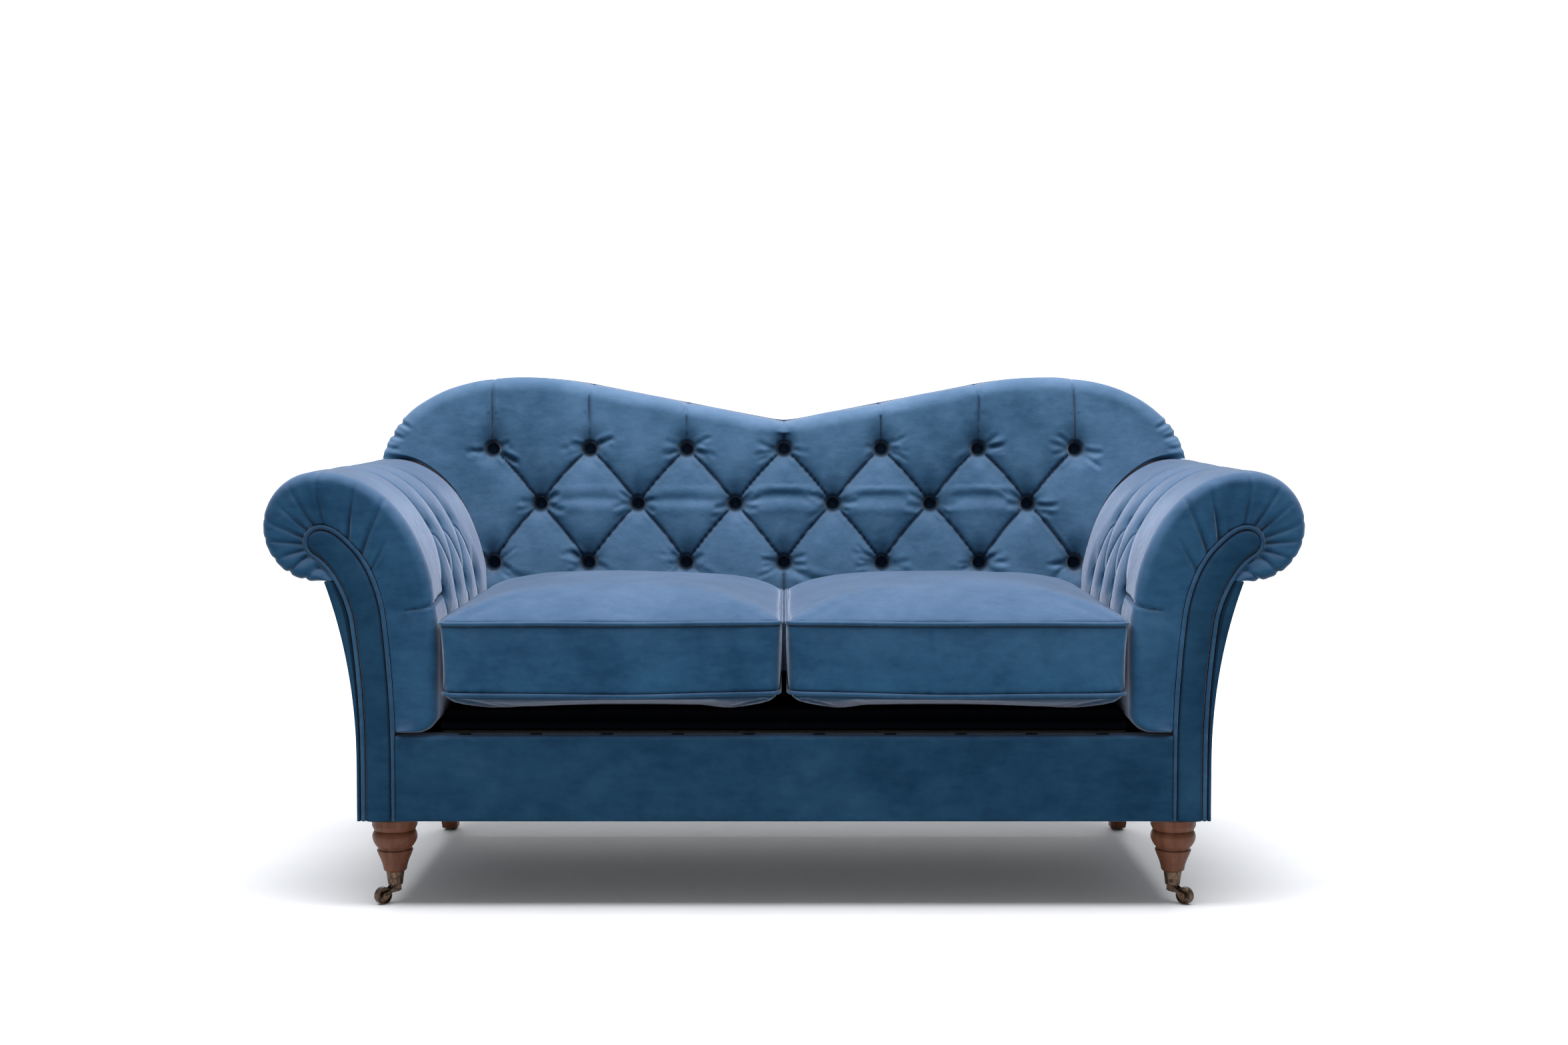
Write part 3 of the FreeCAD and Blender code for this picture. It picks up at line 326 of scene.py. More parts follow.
def buttoned(place, pleats, buttons, creases, reach, pit, slit=(5.0, 3.4)):
    """Depth of a buttoned cover under its crowned face, and its places drawn onto the pleats.

    pleats: (path, depth at start, depth at end); buttons: (place, depth); creases: (path, depth, width).
    reach is how far the fall of a puff to its pleat begins, pit the radius of the hole that a button makes.
    """
    total = np.zeros(len(place))
    cut = np.zeros(len(place))
    moved = place.copy()
    nearest = np.full(len(place), 1e9)
    for path, first, last in pleats:
        low, high = path.min(0) - reach, path.max(0) + reach
        use = np.where(((place > low) & (place < high)).all(1))[0]
        if not len(use):
            continue
        gap, along, foot = near_fold(place[use], path)
        depth = first + (last - first) * smooth(0, 1, along)
        q = np.clip(gap / reach, 0, 1)
        total[use] += (depth * (1 - np.sqrt(1 - (1 - q) ** 2))) ** 3
        sharp = np.clip(depth / 8.0, 0, 1)
        lip = -0.9 * np.exp(-((gap - 7.5) / 3.5) ** 2)
        cut[use] = np.maximum(cut[use], sharp * slit[0] * np.clip(1 - gap / slit[1], 0, 1)) + sharp * lip
        snap = (gap < 1.75) & (gap < nearest[use])
        moved[use[snap]] = foot[snap]
        nearest[use[snap]] = gap[snap]
    for centre, depth in buttons:
        away = place - np.array(centre)
        above = np.where(away[:, 1] > 0, 0.62, 1.1)
        gap = np.hypot(away[:, 0], away[:, 1] * above)
        round_gap = np.hypot(away[:, 0], away[:, 1])
        wide = 0.62 * depth * np.clip(1 - gap / (pit * 4.4), 0, 1) ** 2
        hole = 0.5 * depth * (1 - smooth(pit * 0.7, pit * 1.5, round_gap))
        total += (wide + hole) ** 3
        cut *= 1 - 0.9 * (1 - smooth(pit, pit * 1.8, round_gap))
    total = np.cbrt(total)
    for path, depth, width in creases:
        low, high = path.min(0) - 3 * width, path.max(0) + 3 * width
        use = np.where(((place > low) & (place < high)).all(1))[0]
        if not len(use):
            continue
        gap, along, _ = near_fold(place[use], path)
        fade = np.clip(np.minimum(along, 1 - along) * 4, 0, 1)
        groove, bulge = np.exp(-(gap / width) ** 2), np.exp(-((gap - 2.2 * width) / width) ** 2)
        total[use] += depth * fade * (groove - 0.35 * bulge)
    return total + cut, moved


def cover_skin(name, points, hollow):
    """A closed skin from a table of places: each row is a loop round the pad, and fans close its two ends."""
    rows, around = points.shape[:2]
    index = np.arange(rows * around).reshape(rows, around)
    a, b = index[:-1], np.roll(index, -1, 1)[:-1]
    c, d = np.roll(index, -1, 1)[1:], index[1:]
    one = np.stack([np.stack([a, b, c], -1), np.stack([a, c, d], -1)], 2)
    two = np.stack([np.stack([a, b, d], -1), np.stack([b, c, d], -1)], 2)
    # Each cell is split along the line that keeps its valley.
    keep = (hollow[a.ravel()] + hollow[c.ravel()] >= hollow[b.ravel()] + hollow[d.ravel()]).reshape(a.shape)
    faces = np.where(keep[..., None, None], one, two).reshape(-1, 3)
    places = points.reshape(-1, 3)
    ends = []
    for k, row in enumerate((index[0], index[-1])):
        centre = len(places) + k
        pair = np.stack([row, np.roll(row, -1)], -1)
        if k == 0:
            pair = pair[:, ::-1]
        ends.append(np.column_stack([pair, np.full(around, centre)]))
    places = np.vstack([places, points[0].mean(0), points[-1].mean(0)])
    faces = np.vstack([faces] + ends)
    mesh = bpy.data.meshes.new(name)
    mesh.vertices.add(len(places))
    mesh.vertices.foreach_set("co", (places * MM).ravel())
    mesh.loops.add(len(faces) * 3)
    mesh.loops.foreach_set("vertex_index", faces.ravel())
    mesh.polygons.add(len(faces))
    mesh.polygons.foreach_set("loop_start", np.arange(0, len(faces) * 3, 3))
    mesh.update(calc_edges=True)
    # The depth is kept on each place for the velvet's painted shade in the hollows.
    shade = mesh.attributes.new("hollow", "FLOAT", "POINT")
    shade.data.foreach_set("value", np.concatenate([np.clip(hollow / 40.0, 0, 1), [0, 0]]).astype(np.float32))
    made = bpy.data.objects.new(name, mesh)
    bpy.context.scene.collection.objects.link(made)
    tidy_skin(made)
    return made


def tidy_skin(made, angle=70):
    """Merges a closed skin's doubles, turns its faces outward and shades it smoothly."""
    bpy.ops.object.select_all(action="DESELECT")
    bpy.context.view_layer.objects.active = made
    made.select_set(True)
    bpy.ops.object.mode_set(mode="EDIT")
    bpy.ops.mesh.select_all(action="SELECT")
    bpy.ops.mesh.remove_doubles(threshold=0.00002)
    bpy.ops.mesh.normals_make_consistent(inside=False)
    bpy.ops.object.mode_set(mode="OBJECT")
    bpy.ops.object.shade_smooth_by_angle(angle=math.radians(angle))
    made.select_set(False)
    note_upward_for_painted_light(made)


def note_upward_for_painted_light(made):
    """Keeps how far each place faces up, for the velvet's painted light: paler on the tops and darker down
    the fronts.
    """
    normal = np.empty(len(made.data.vertices) * 3)
    made.data.vertices.foreach_get("normal", normal)
    upward = made.data.attributes.new("upward", "FLOAT", "POINT")
    upward.data.foreach_set("value", normal.reshape(-1, 3)[:, 2].astype(np.float32))


def velvet(name, down, up, sheen, tint):
    """Upholstery velvet: cloudy pile, pressed strokes and a fine nap, with painted shade in its hollows and
    on places that face down.

    down and up each hold a deep and a pale tone of the pile's cloudy colour. Places that face forward get
    down and places that face up get up: painted shade down the fronts and painted light on the tops.
    """
    cloth = Finish(name, Roughness=0.9, Sheen_Weight=sheen, Sheen_Roughness=0.30, Sheen_Tint=tint,
                   Specular_IOR_Level=0.1)
    here = cloth.place()
    cloud = cloth.noise(here, 5.5, 4.0, 0.6)
    strokes = cloth.noise(cloth.place((9, 9, 26), (0.5, 0.3, 0.9)), 2.2, 4.0, 0.65)
    crush = cloth.noise(here, 48.0, 3.0, 0.6)
    nap = cloth.noise(here, 1900.0, 2.0, 0.6)
    tone = (cloud * 0.55 + strokes * 0.3 + crush * 0.15).clamped(0.37, 0.63)
    hollow = cloth.signal(cloth.node("Attribute", {"attribute_name": "hollow"}), "Fac")
    upward = cloth.signal(cloth.node("Attribute", {"attribute_name": "upward"}), "Fac")
    # Painted light: the down tones on places that face forward, the up tones on places that face up, as the
    # top lamp lights them.
    painted_light_share = (upward + (cloud - 0.5) * 0.3).clamped(-0.05, 0.8)
    colour = cloth.mix(painted_light_share, cloth.mix(tone, down[0], down[1]), cloth.mix(tone, up[0], up[1]))
    # Painted shade: near black on places that face down and in the hollows of the cover.
    shadow = tuple(0.12 * c for c in down[0][:3]) + (1,)
    colour = cloth.mix((upward * -1.0).clamped(0.15, 0.9) * 0.85, colour, shadow)
    colour = cloth.mix(hollow.clamped(0.10, 0.62), colour, shadow)
    speckle = (nap - 0.5) * 0.25 + 0.5
    colour = cloth.mix(speckle.clamped(0.2, 0.8) * 0.2, colour,
                       tuple(min(1, 1.5 * c) for c in down[1][:3]) + (1,))
    cloth.feed("Base Color", colour)
    cloth.feed("Roughness", (cloud * 0.2 + 0.78).clamped(0.0, 1.0))
    relief = cloth.bump(crush, 0.25, 0.004)
    cloth.feed("Normal", cloth.bump(nap, 0.3, 0.0006, relief))
    return cloth.material


LAVENDER = (0.78, 0.83, 1.0, 1)
blue_velvet = velvet("blue_velvet", ((0.006, 0.036, 0.083, 1), (0.024, 0.088, 0.168, 1)),
                     ((0.040, 0.078, 0.140, 1), (0.072, 0.120, 0.205, 1)), 0.85, LAVENDER)
# A darker copy of the same velvet with less sheen, for the panels that face forward: painted shade, as the
# top lamp hardly reaches them.
painted_shade_velvet = velvet("painted_shade_velvet", ((0.002, 0.021, 0.050, 1), (0.010, 0.048, 0.094, 1)),
                       ((0.022, 0.058, 0.120, 1), (0.045, 0.095, 0.175, 1)), 0.30, LAVENDER)

# A paler copy of the same velvet for the buttoned back: painted light, as the back leans up towards the top
# lamp.
painted_light_back_velvet = velvet("painted_light_back_velvet", ((0.014, 0.052, 0.102, 1), (0.050, 0.122, 0.210, 1)),
                     ((0.060, 0.110, 0.185, 1), (0.100, 0.160, 0.255, 1)), 0.85, LAVENDER)

button_rows = {}
for node_name in ("arm_buttons", "back_buttons"):
    co = np.array([v.co for v in nodes[node_name].data.vertices], float) / MM
    cells = {}
    for p in co:
        key = next((k for k in cells if np.linalg.norm(np.array(k) - p) < 60), None)
        cells.setdefault(key if key is not None else tuple(p), []).append(p)
    button_rows[node_name] = np.array([(np.min(c, axis=0) + np.max(c, axis=0)) / 2 for c in cells.values()])


def arm_outline():
    """Covered line of the right arm's section, from under the pad's foot up, over the scroll and under it."""
    round_mm = 34.0
    foot = np.array([(CORE_IN_MM - 0.5, ARM_FOOT_MM + 0.5), (INNER_MM + round_mm, ARM_FOOT_MM + 0.5)])
    bend = turn((INNER_MM + round_mm, ARM_FOOT_MM + round_mm), round_mm - 0.5, -90, -180, 14)
    a = np.radians(np.linspace(0, 90, 60))
    shoulder_x = ROLL_X_MM - 12.0
    swell = np.column_stack([shoulder_x - (shoulder_x - INNER_MM) * np.cos(a),
                             WAIST_MM + SHOULDER_MM * np.sin(a)])
    scroll = turn((ROLL_X_MM, ROLL_Z_MM), ROLL_MM, 90, UNDER_SCROLL, 80)
    return np.vstack([foot[:1], bend, swell, scroll])


def make_arm(side, seed):
    """side is 1 for the right arm and -1 for the left."""
    chance = np.random.default_rng(seed)
    outline = arm_outline()
    run = length_along(outline)
    s = np.linspace(0, run[-1], int(run[-1] / COVER_STEP_MM) + 1)
    line_xz = at_length(outline, s)
    flow = np.gradient(line_xz, axis=0)
    flow /= np.linalg.norm(flow, axis=1)[:, None]
    out_xz = np.column_stack([-flow[:, 1], flow[:, 0]])      # away from the core

    def station(x, z):
        return run[np.linalg.norm(outline - np.array([x, z]), axis=1).argmin()]

    # Facing edge of the cover: the same stations on the core's outline.
    core = core_line(-0.5)
    core = np.vstack([[(CORE_IN_MM - 0.5, ARM_FOOT_MM + 0.5)], core[core[:, 1] > ARM_FOOT_MM + 1]])
    core_run = length_along(core)

    def core_station(x, z):
        return core_run[np.linalg.norm(core - np.array([x, z]), axis=1).argmin()]

    def on_scroll(angle):
        a = math.radians(angle)
        return station(ROLL_X_MM + ROLL_MM * math.cos(a), ROLL_Z_MM + ROLL_MM * math.sin(a))

    def on_head(angle):
        a = math.radians(angle)
        return core_station(HEAD_X_MM + HEAD_R_MM * math.cos(a), HEAD_Z_MM + HEAD_R_MM * math.sin(a))

    pairs = [(0, 0), (station(INNER_MM, ARM_FOOT_MM + 34), core_station(CORE_IN_MM, ARM_FOOT_MM + 26)),
             (station(INNER_MM, WAIST_MM), core_station(CORE_IN_MM + 14, ROLL_Z_MM - 165)),
             (station(INNER_MM + 60, ROLL_Z_MM + 12), core_station(CORE_IN_MM + 40, ROLL_Z_MM - 72)),
             (on_scroll(90), on_head(98)), (on_scroll(0), on_head(8)), (on_scroll(-60), on_head(-45)),
             (run[-1], core_station(BODY_MM + 35, ROLL_Z_MM - ROLL_MM))]
    core_s = np.interp(s, [p[0] for p in pairs], [p[1] for p in pairs])
    core_xz = at_length(core, core_s)

    # Rear end of each line of the cover: under the back padding inside, round the back post outside.
    outside = s > station(INNER_MM + 40, ROLL_Z_MM - 30)
    depth_end = (PAD_REAR_MM + (POST_REAR_MM - PAD_REAR_MM)
                 * smooth(INNER_MM + 95, INNER_MM + 130, line_xz[:, 0]) * outside)
    rear = np.array([lean_mm(d, z) for d, z in zip(depth_end, line_xz[:, 1])])

    # Table of places: rear to front along the arm, round the rim, in to the core.
    rim_y = FRONT_MM + 26.0
    along = int((rear.max() - rim_y) / COVER_STEP_MM) + 1
    t = np.linspace(0, 1, along)
    y = rear[:, None] + (rim_y - rear[:, None]) * t[None]
    inward = core_xz - line_xz
    width = np.linalg.norm(inward, axis=1)
    across = 26
    w = np.linspace(0, 1, across + 1)[1:] ** 1.15
    travel = w[None] * width[:, None]
    rise = 26.0 * (1 - np.sqrt(1 - (1 - np.clip(travel / 19.0, 0, 1)) ** 2))
    fall = 11.0 * smooth(0.35, 1.0, w)[None] ** 1.5
    front_y = FRONT_MM + rise + fall
    xz_front = line_xz[:, None] + inward[:, None] * w[None, :, None]

    # Outward direction of the cover at each place.
    count = len(s)
    side_normal = np.zeros((count, along, 3))
    side_normal[..., 0], side_normal[..., 2] = out_xz[:, None, 0], out_xz[:, None, 1]
    lean = np.clip(1 - travel / 19.0, 0, 1)[..., None]
    front_normal = np.zeros((count, across, 3))
    front_normal[..., 0], front_normal[..., 2] = out_xz[:, None, 0] * lean[..., 0], out_xz[:, None,
                                                                                           1] * lean[..., 0]
    front_normal[..., 1] = -np.sqrt(np.clip(1 - lean[..., 0] ** 2, 0.05, 1))
    front_normal /= np.linalg.norm(front_normal, axis=2)[..., None]

    place = np.concatenate([
        np.stack([np.repeat(line_xz[:, None, 0], along, 1), y, np.repeat(line_xz[:, None, 1], along, 1)], -1),
        np.stack([xz_front[..., 0], front_y, xz_front[..., 1]], -1)], axis=1)
    normal = np.concatenate([side_normal, front_normal], axis=1)

    # Cover coordinates: distance along the arm and along its section.
    step = np.linalg.norm(np.diff(place, axis=1), axis=2)
    q = np.concatenate([np.zeros((count, 1)), np.cumsum(step, 1)], 1)
    q = q - q[:, along - 1:along] + rim_y
    q = np.concatenate([y, rim_y - (q[:, along:] - rim_y)],
                       1)      # falls from the rear to the front edge and on inward
    flat = np.column_stack([q.ravel(), np.repeat(s, along + across)])

    seats = [c for c in button_rows["arm_buttons"] if c[0] * side > 0]
    spots = []
    for cx, cy, cz in seats:
        near = np.linalg.norm(line_xz - np.array([abs(cx), cz]), axis=1).argmin()
        spots.append((cy, s[near]))
    spots.sort(key=lambda c: (round(c[1] / 60), c[0]))
    low_row = sorted([c for c in spots if c[1] < np.mean([c[1] for c in spots])])
    high_row = sorted([c for c in spots if c[1] >= np.mean([c[1] for c in spots])])
    over = on_scroll(52)
    pleats = []
    for cy, cs in high_row:
        pleats.append((bowed((cy, cs), (cy + 4, over), 0.0), 11, 0.5))
    for cy, cs in high_row:
        for ly, ls in low_row:
            if abs(cy - ly) < 80:
                pleats.append((bowed((ly, ls), (cy, cs), 7), 9, 9))
    for cy, cs in low_row:
        pleats.append((bowed((cy, cs), (cy, cs - 150), 0), 9, 2))
    first_y, first_s = low_row[0]
    pleats.append((bowed((first_y, first_s), (FRONT_MM - 40, first_s - 16), 5), 9, 5))
    # Gathers: the cover is drawn in to the panel all round the scroll.
    gathers = [(on_scroll(96) - 62, 1.0, 6.5, 95), (on_scroll(96) - 112, 0.9, 6.0, 110),
               (on_scroll(96) - 165, 0.75, 4.0, 70), (on_scroll(88), 0.8, 4.5, 120),
               (on_scroll(60), 0.9, 4.0, 84),
               (on_scroll(32), 0.8, 4.0, 74), (on_scroll(8), 0.8, 3.0, 96), (on_scroll(-14), 0.9, 3.2, 92),
               (on_scroll(-36), 0.9, 3.4, 80), (on_scroll(-58), 0.9, 4.5, 84), (on_scroll(-78), 0.9, 4.5, 70)]
    depth, moved = buttoned(flat, pleats, [(c, BUTTON_PIT_MM) for c in spots], [], 62.0, 12.0, (3.5, 3.2))
    s_all, q_all = flat[:, 1], flat[:, 0]
    reach_in = np.concatenate([np.full((count, along), 0.0), w[None] + np.zeros((count, across))], 1).ravel()
    travelled = np.concatenate([y - rim_y, -travel], 1).ravel()        # >0 behind the rim, <0 over the front
    width_all = np.repeat(width, along + across)
    for gs, strength, deep, long in gathers:
        gs = gs + chance.uniform(-4, 4)
        wander = chance.uniform(-6, 6)
        inside = (travelled + width_all) / long              # 0 at the panel, 1 where the gather ends
        centre = gs + wander * np.clip(inside, 0, 1) ** 2
        gap = np.abs(s_all - centre) * (1 - 0.45 * reach_in)
        fade = np.clip(1 - inside, 0, 1) ** 0.8
        fade *= smooth(-0.02, 0.10, inside) * 0.5 + 0.5
        shape = np.exp(-(gap / 3.2) ** 2) - 0.32 * np.exp(-((gap - 10) / 6) ** 2)
        depth += 1.5 * strength * deep * fade * shape * (gap < 45)
    for k in range(26):
        gs = chance.uniform(on_scroll(96) - 190, run[-1] - 10)
        long = chance.uniform(18, 42)
        inside = (travelled + width_all) / long
        gap = np.abs(s_all - gs) * (1 - 0.45 * reach_in)
        depth += chance.uniform(0.6, 1.6) * np.clip(1 - inside, 0, 1) * np.exp(-(gap / 3.4) ** 2)
    soft = (np.sin(q_all / 47 + s_all / 83 + seed) * np.sin(s_all / 61 - q_all / 95)
            + np.sin(q_all / 23 + 1.3 * seed) * np.sin(s_all / 31) * 0.35)
    depth += 0.9 * soft
    depth = depth.reshape(count, along + across)
    moved = moved.reshape(count, along + across, 2)
    shift = moved - flat.reshape(count, along + across, 2)
    on_side = np.zeros((count, along + across))
    on_side[1:-1, 1:along] = 1
    place[..., 1] += shift[..., 0] * on_side
    place[..., 0] += flow[:, None, 0] * shift[..., 1] * on_side
    place[..., 2] += flow[:, None, 1] * shift[..., 1] * on_side
    place -= normal * depth[..., None]

    # Hidden inner side of the pad, along the core from the front to the rear.
    back_steps = 6
    u = np.linspace(0, 1, back_steps + 1)[1:]
    rear_core = lean_mm(depth_end, core_xz[:, 1])
    inner_y = place[:, -1, 1][:, None] + (rear_core[:, None] - place[:, -1, 1][:, None]) * u[None]
    inner_xz = core_xz[:, None] + np.zeros((count, back_steps, 2))
    inner = np.stack([inner_xz[..., 0], inner_y, inner_xz[..., 1]], -1)
    loops = np.concatenate([place, inner], 1)
    # Depths of the cover are kept for painted shade in its pleats and pits; the hidden inner side gets a
    # fixed painted dark.
    hollow = np.concatenate([np.clip(depth, 0, 40), np.full((count, back_steps), 20.0)], 1)
    loops[..., 0] *= side
    name = "velvet_arm_" + ("right" if side > 0 else "left")
    made = cover_skin(name, loops, hollow.ravel())
    made.data.materials.append(blue_velvet)
    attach(made, "sofa")
    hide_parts("arm_pad_" + ("right" if side > 0 else "left"))


make_arm(1, 11)
make_arm(-1, 23)


# ================================================================ front panels of the arms and their welts
# A walking-stick shaped board, wadded and covered, is pressed into the gathered mouth of each arm. A corded
# welt of the same velvet hides the seam all round it.
WELT_MM = 3.5
PANEL_MM = FRONT_MM + 8.0
PANEL_REAR_MM = corners("arm_front_panel_right")[1][1]


def stick_sides(inset, count):
    """The inner and the outer side of the stick outline, point for point from the foot to the head's tip."""
    line = core_line(inset)
    tip = np.array([HEAD_X_MM + HEAD_R_MM * math.cos(0.3), HEAD_Z_MM + HEAD_R_MM * math.sin(0.3)])
    k = np.linalg.norm(line - tip, axis=1).argmin()
    sides = line[:k + 1], line[k:][::-1]
    return [at_length(p, np.linspace(0, length_along(p)[-1], count)) for p in sides]


def lay(xz, y):
    """Joins a line in the XZ plane and depths along Y into places."""
    return np.stack([xz[..., 0], y + np.zeros(xz.shape[:-1]), xz[..., 1]], -1)


for side, hand in ((1, "right"), (-1, "left")):
    tall = 190
    near_in, near_out = stick_sides(2 * WELT_MM + 2.0, tall)
    base_in, base_out = stick_sides(0.4, tall)
    w = np.linspace(0, 1, 19)
    width = np.linalg.norm(near_out - near_in, axis=1)
    flat = near_in[:, None] + (near_out - near_in)[:, None] * w[None, :, None]
    edge = np.minimum(w, 1 - w)[None] * width[:, None]
    crown = 2.6 * np.sin(np.pi * w)[None] * np.clip(width / 40, 0, 1)[:, None]
    ripple = 0.35 * np.sin(flat[..., 1] / 31 + flat[..., 0] / 19 + side) * np.sin(flat[..., 1] / 73)
    face_y = PANEL_MM + 5.0 * (1 - np.sqrt(1 - (1 - np.clip(edge / 7, 0, 1)) ** 2)) - crown + ripple
    step_y = PANEL_MM + 2 * WELT_MM + 1.0
    loop = np.concatenate([
        lay(flat, face_y), lay(near_out[:, None], step_y), lay(base_out[:, None], step_y),
        lay(base_out[:, None], PANEL_REAR_MM), lay(base_in[:, None], PANEL_REAR_MM),
        lay(base_in[:, None], step_y), lay(near_in[:, None], step_y)], 1)
    loop[..., 0] *= side
    # Painted shade: dark along the panel's edge beside the welt and on its hidden sides.
    shade = np.zeros(loop.shape[:2])
    shade[:, 19:] = 22
    shade[:, :19] = 16 * np.exp(-(edge / 4.0) ** 2)
    panel = cover_skin("front_panel_" + hand, loop, shade.ravel())
    panel.data.materials.append(painted_shade_velvet)
    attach(panel, "sofa")
    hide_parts("arm_front_panel_" + hand)


def welt(name, lines, radius_mm, closed, cloth, body, node):
    """Corded welts along lines of places: a soft round cord in its sewn sleeve."""
    cord = bpy.data.curves.new(name, "CURVE")
    cord.dimensions = "3D"
    cord.bevel_depth = radius_mm * MM
    cord.bevel_resolution = 4
    cord.use_fill_caps = not closed
    for line in lines:
        strand = cord.splines.new("POLY")
        strand.points.add(len(line) - 1)
        for spot, place in zip(strand.points, line):
            spot.co = (*[v * MM for v in place], 1)
        strand.use_cyclic_u = closed
    made = bpy.data.objects.new(name, cord)
    bpy.context.scene.collection.objects.link(made)
    bpy.context.view_layer.objects.active = made
    made.select_set(True)
    bpy.ops.object.convert(target="MESH")
    made = bpy.context.object
    bpy.ops.object.shade_smooth_by_angle(angle=math.radians(60))
    made.select_set(False)
    note_upward_for_painted_light(made)
    made.data.materials.clear()
    made.data.materials.append(cloth)
    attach(made, body)
    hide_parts(node)


beside = WELT_MM + 0.8
stick = core_line(beside)
stick = at_length(stick, np.linspace(0, length_along(stick)[-1], 420))
runs = []
for side in (1, -1):
    wobble = 0.25 * np.sin(np.arange(len(stick)) / 9 + side)
    places = lay(stick, PANEL_MM + WELT_MM + wobble)
    places[:, 0] *= side
    runs.append(places)
welt("arm_welts", runs, WELT_MM, False, blue_velvet, "sofa", "arm_piping")

# ================================================================ outsides of the arms
# Plain velvet over card and thin wadding, pulled down from under the scroll and tacked under the rail. Its
# front edge shows beside the panel as a narrow strip.
OUTSIDE_FOOT_MM = corners("outside_arm_right")[0][2]
OUTSIDE_TOP_MM = corners("outside_arm_right")[1][2]
for side, hand in ((1, "right"), (-1, "left")):
    tall = 130
    flare = curve([(BODY_MM, FLARE_MM),
                   (ROLL_X_MM + ROLL_MM * math.cos(math.radians(UNDER_SCROLL)), OUTSIDE_TOP_MM)],
                  (0, 1), (0.36, 1))
    outer = np.vstack([[(BODY_MM, OUTSIDE_FOOT_MM)], flare])
    inner = core_line(-0.6)[::-1]
    inner = inner[:np.argmax(inner[:, 1] > OUTSIDE_TOP_MM - 1)]
    inner = np.vstack([inner, [(inner[-1][0] + 0.8, OUTSIDE_TOP_MM)]])
    inner[0, 1] = OUTSIDE_FOOT_MM
    outer = at_length(outer, np.linspace(0, length_along(outer)[-1], tall))
    inner = at_length(inner, np.linspace(0, length_along(inner)[-1], tall))
    rear = lean_mm(POST_REAR_MM, outer[:, 1])
    w = np.linspace(0, 1, 9)
    strip = inner[:, None] + (outer - inner)[:, None] * w[None, :, None]
    gap = np.minimum(w, 1 - w)[None] * np.linalg.norm(outer - inner, axis=1)[:, None]
    strip_y = PANEL_MM + 1.0 + 3.0 * (1 - np.clip(gap / 3.5, 0, 1)) ** 2
    t = np.linspace(0, 1, 90) ** 0.9
    run_y = (PANEL_MM + 5) + (rear[:, None] - PANEL_MM - 5) * t[None]
    sag = 1.1 * np.sin(np.pi * t)[None] * np.sin(np.pi * np.linspace(0, 1, tall))[:, None]
    drag = 0.5 * np.sin(run_y / 37 + outer[:, 1][:, None] / 53 + side) * np.sin(outer[:, 1][:, None] / 97)
    tuck = 2.5 * np.exp(-((OUTSIDE_TOP_MM - outer[:, 1]) / 5) ** 2)[:, None]
    panel_xz = outer[:, None] + np.zeros((tall, 90, 2))
    panel_xz[..., 0] -= sag + drag * 0.6 + tuck
    loop = np.concatenate([lay(strip, strip_y), lay(panel_xz, run_y),
                           lay(inner[:, None], rear[:, None]), lay(inner[:, None], PANEL_MM + 40)], 1)
    loop[..., 0] *= side
    # Painted shade along the narrow strip beside the panel.
    shade = np.zeros(loop.shape[:2])
    shade[:, :3] = 20
    outside = cover_skin("outside_cover_" + hand, loop, shade.ravel())
    outside.data.materials.append(painted_shade_velvet)
    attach(outside, "sofa")
    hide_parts("outside_arm_" + hand)

# ================================================================ buttoned back
# Deep-buttoned pad over webbing: velvet is pulled to three rows of covered buttons with twine, folded into
# pleats between them, and carried over the double-humped top rail with an open pleat above each top button.
PITCH_MM = 197.0
WING_MM = OUT_MM - 84.0
HUMP_X_MM = WING_MM - 266.0
PAD_FOOT_MM = corners("back_pad")[0][2]
RIM_MM = 28.0
seats = sorted(button_rows["back_buttons"].tolist(), key=lambda c: (-round(c[2] / 40), c[0]))
levels = sorted({round(c[2] / 40) for c in seats}, reverse=True)
rows_of_seats = [[(c[0], c[2]) for c in seats if round(c[2] / 40) == level] for level in levels]


def hump_outline():
    """The double hump from the middle of its dip to where it meets the right arm."""
    dip, end = np.array([0.0, HUMP_MM - 91.0]), np.array([HUMP_X_MM - 154, HUMP_MM - 15.2])
    slope = (end - dip) / np.linalg.norm(end - dip)
    start = dip + slope * 30
    middle = curve([(0, dip[1] + 2.4), start], (1, 0.0), slope, 8)
    crest = curve([end, (HUMP_X_MM, HUMP_MM)], slope, (1, 0), 20)
    a = np.radians(np.linspace(0, 90, 60))[1:]
    side_z = ARM_TOP_MM - 3
    shoulder = np.column_stack([HUMP_X_MM + (WING_MM - HUMP_X_MM) * np.sin(a),
                                side_z + (HUMP_MM - side_z) * np.cos(a)])
    line = np.vstack([middle, crest, shoulder])
    return np.vstack([line[line[:, 1] > ARM_TOP_MM + 1.2], [(WING_MM, ARM_TOP_MM + 1.2)]])


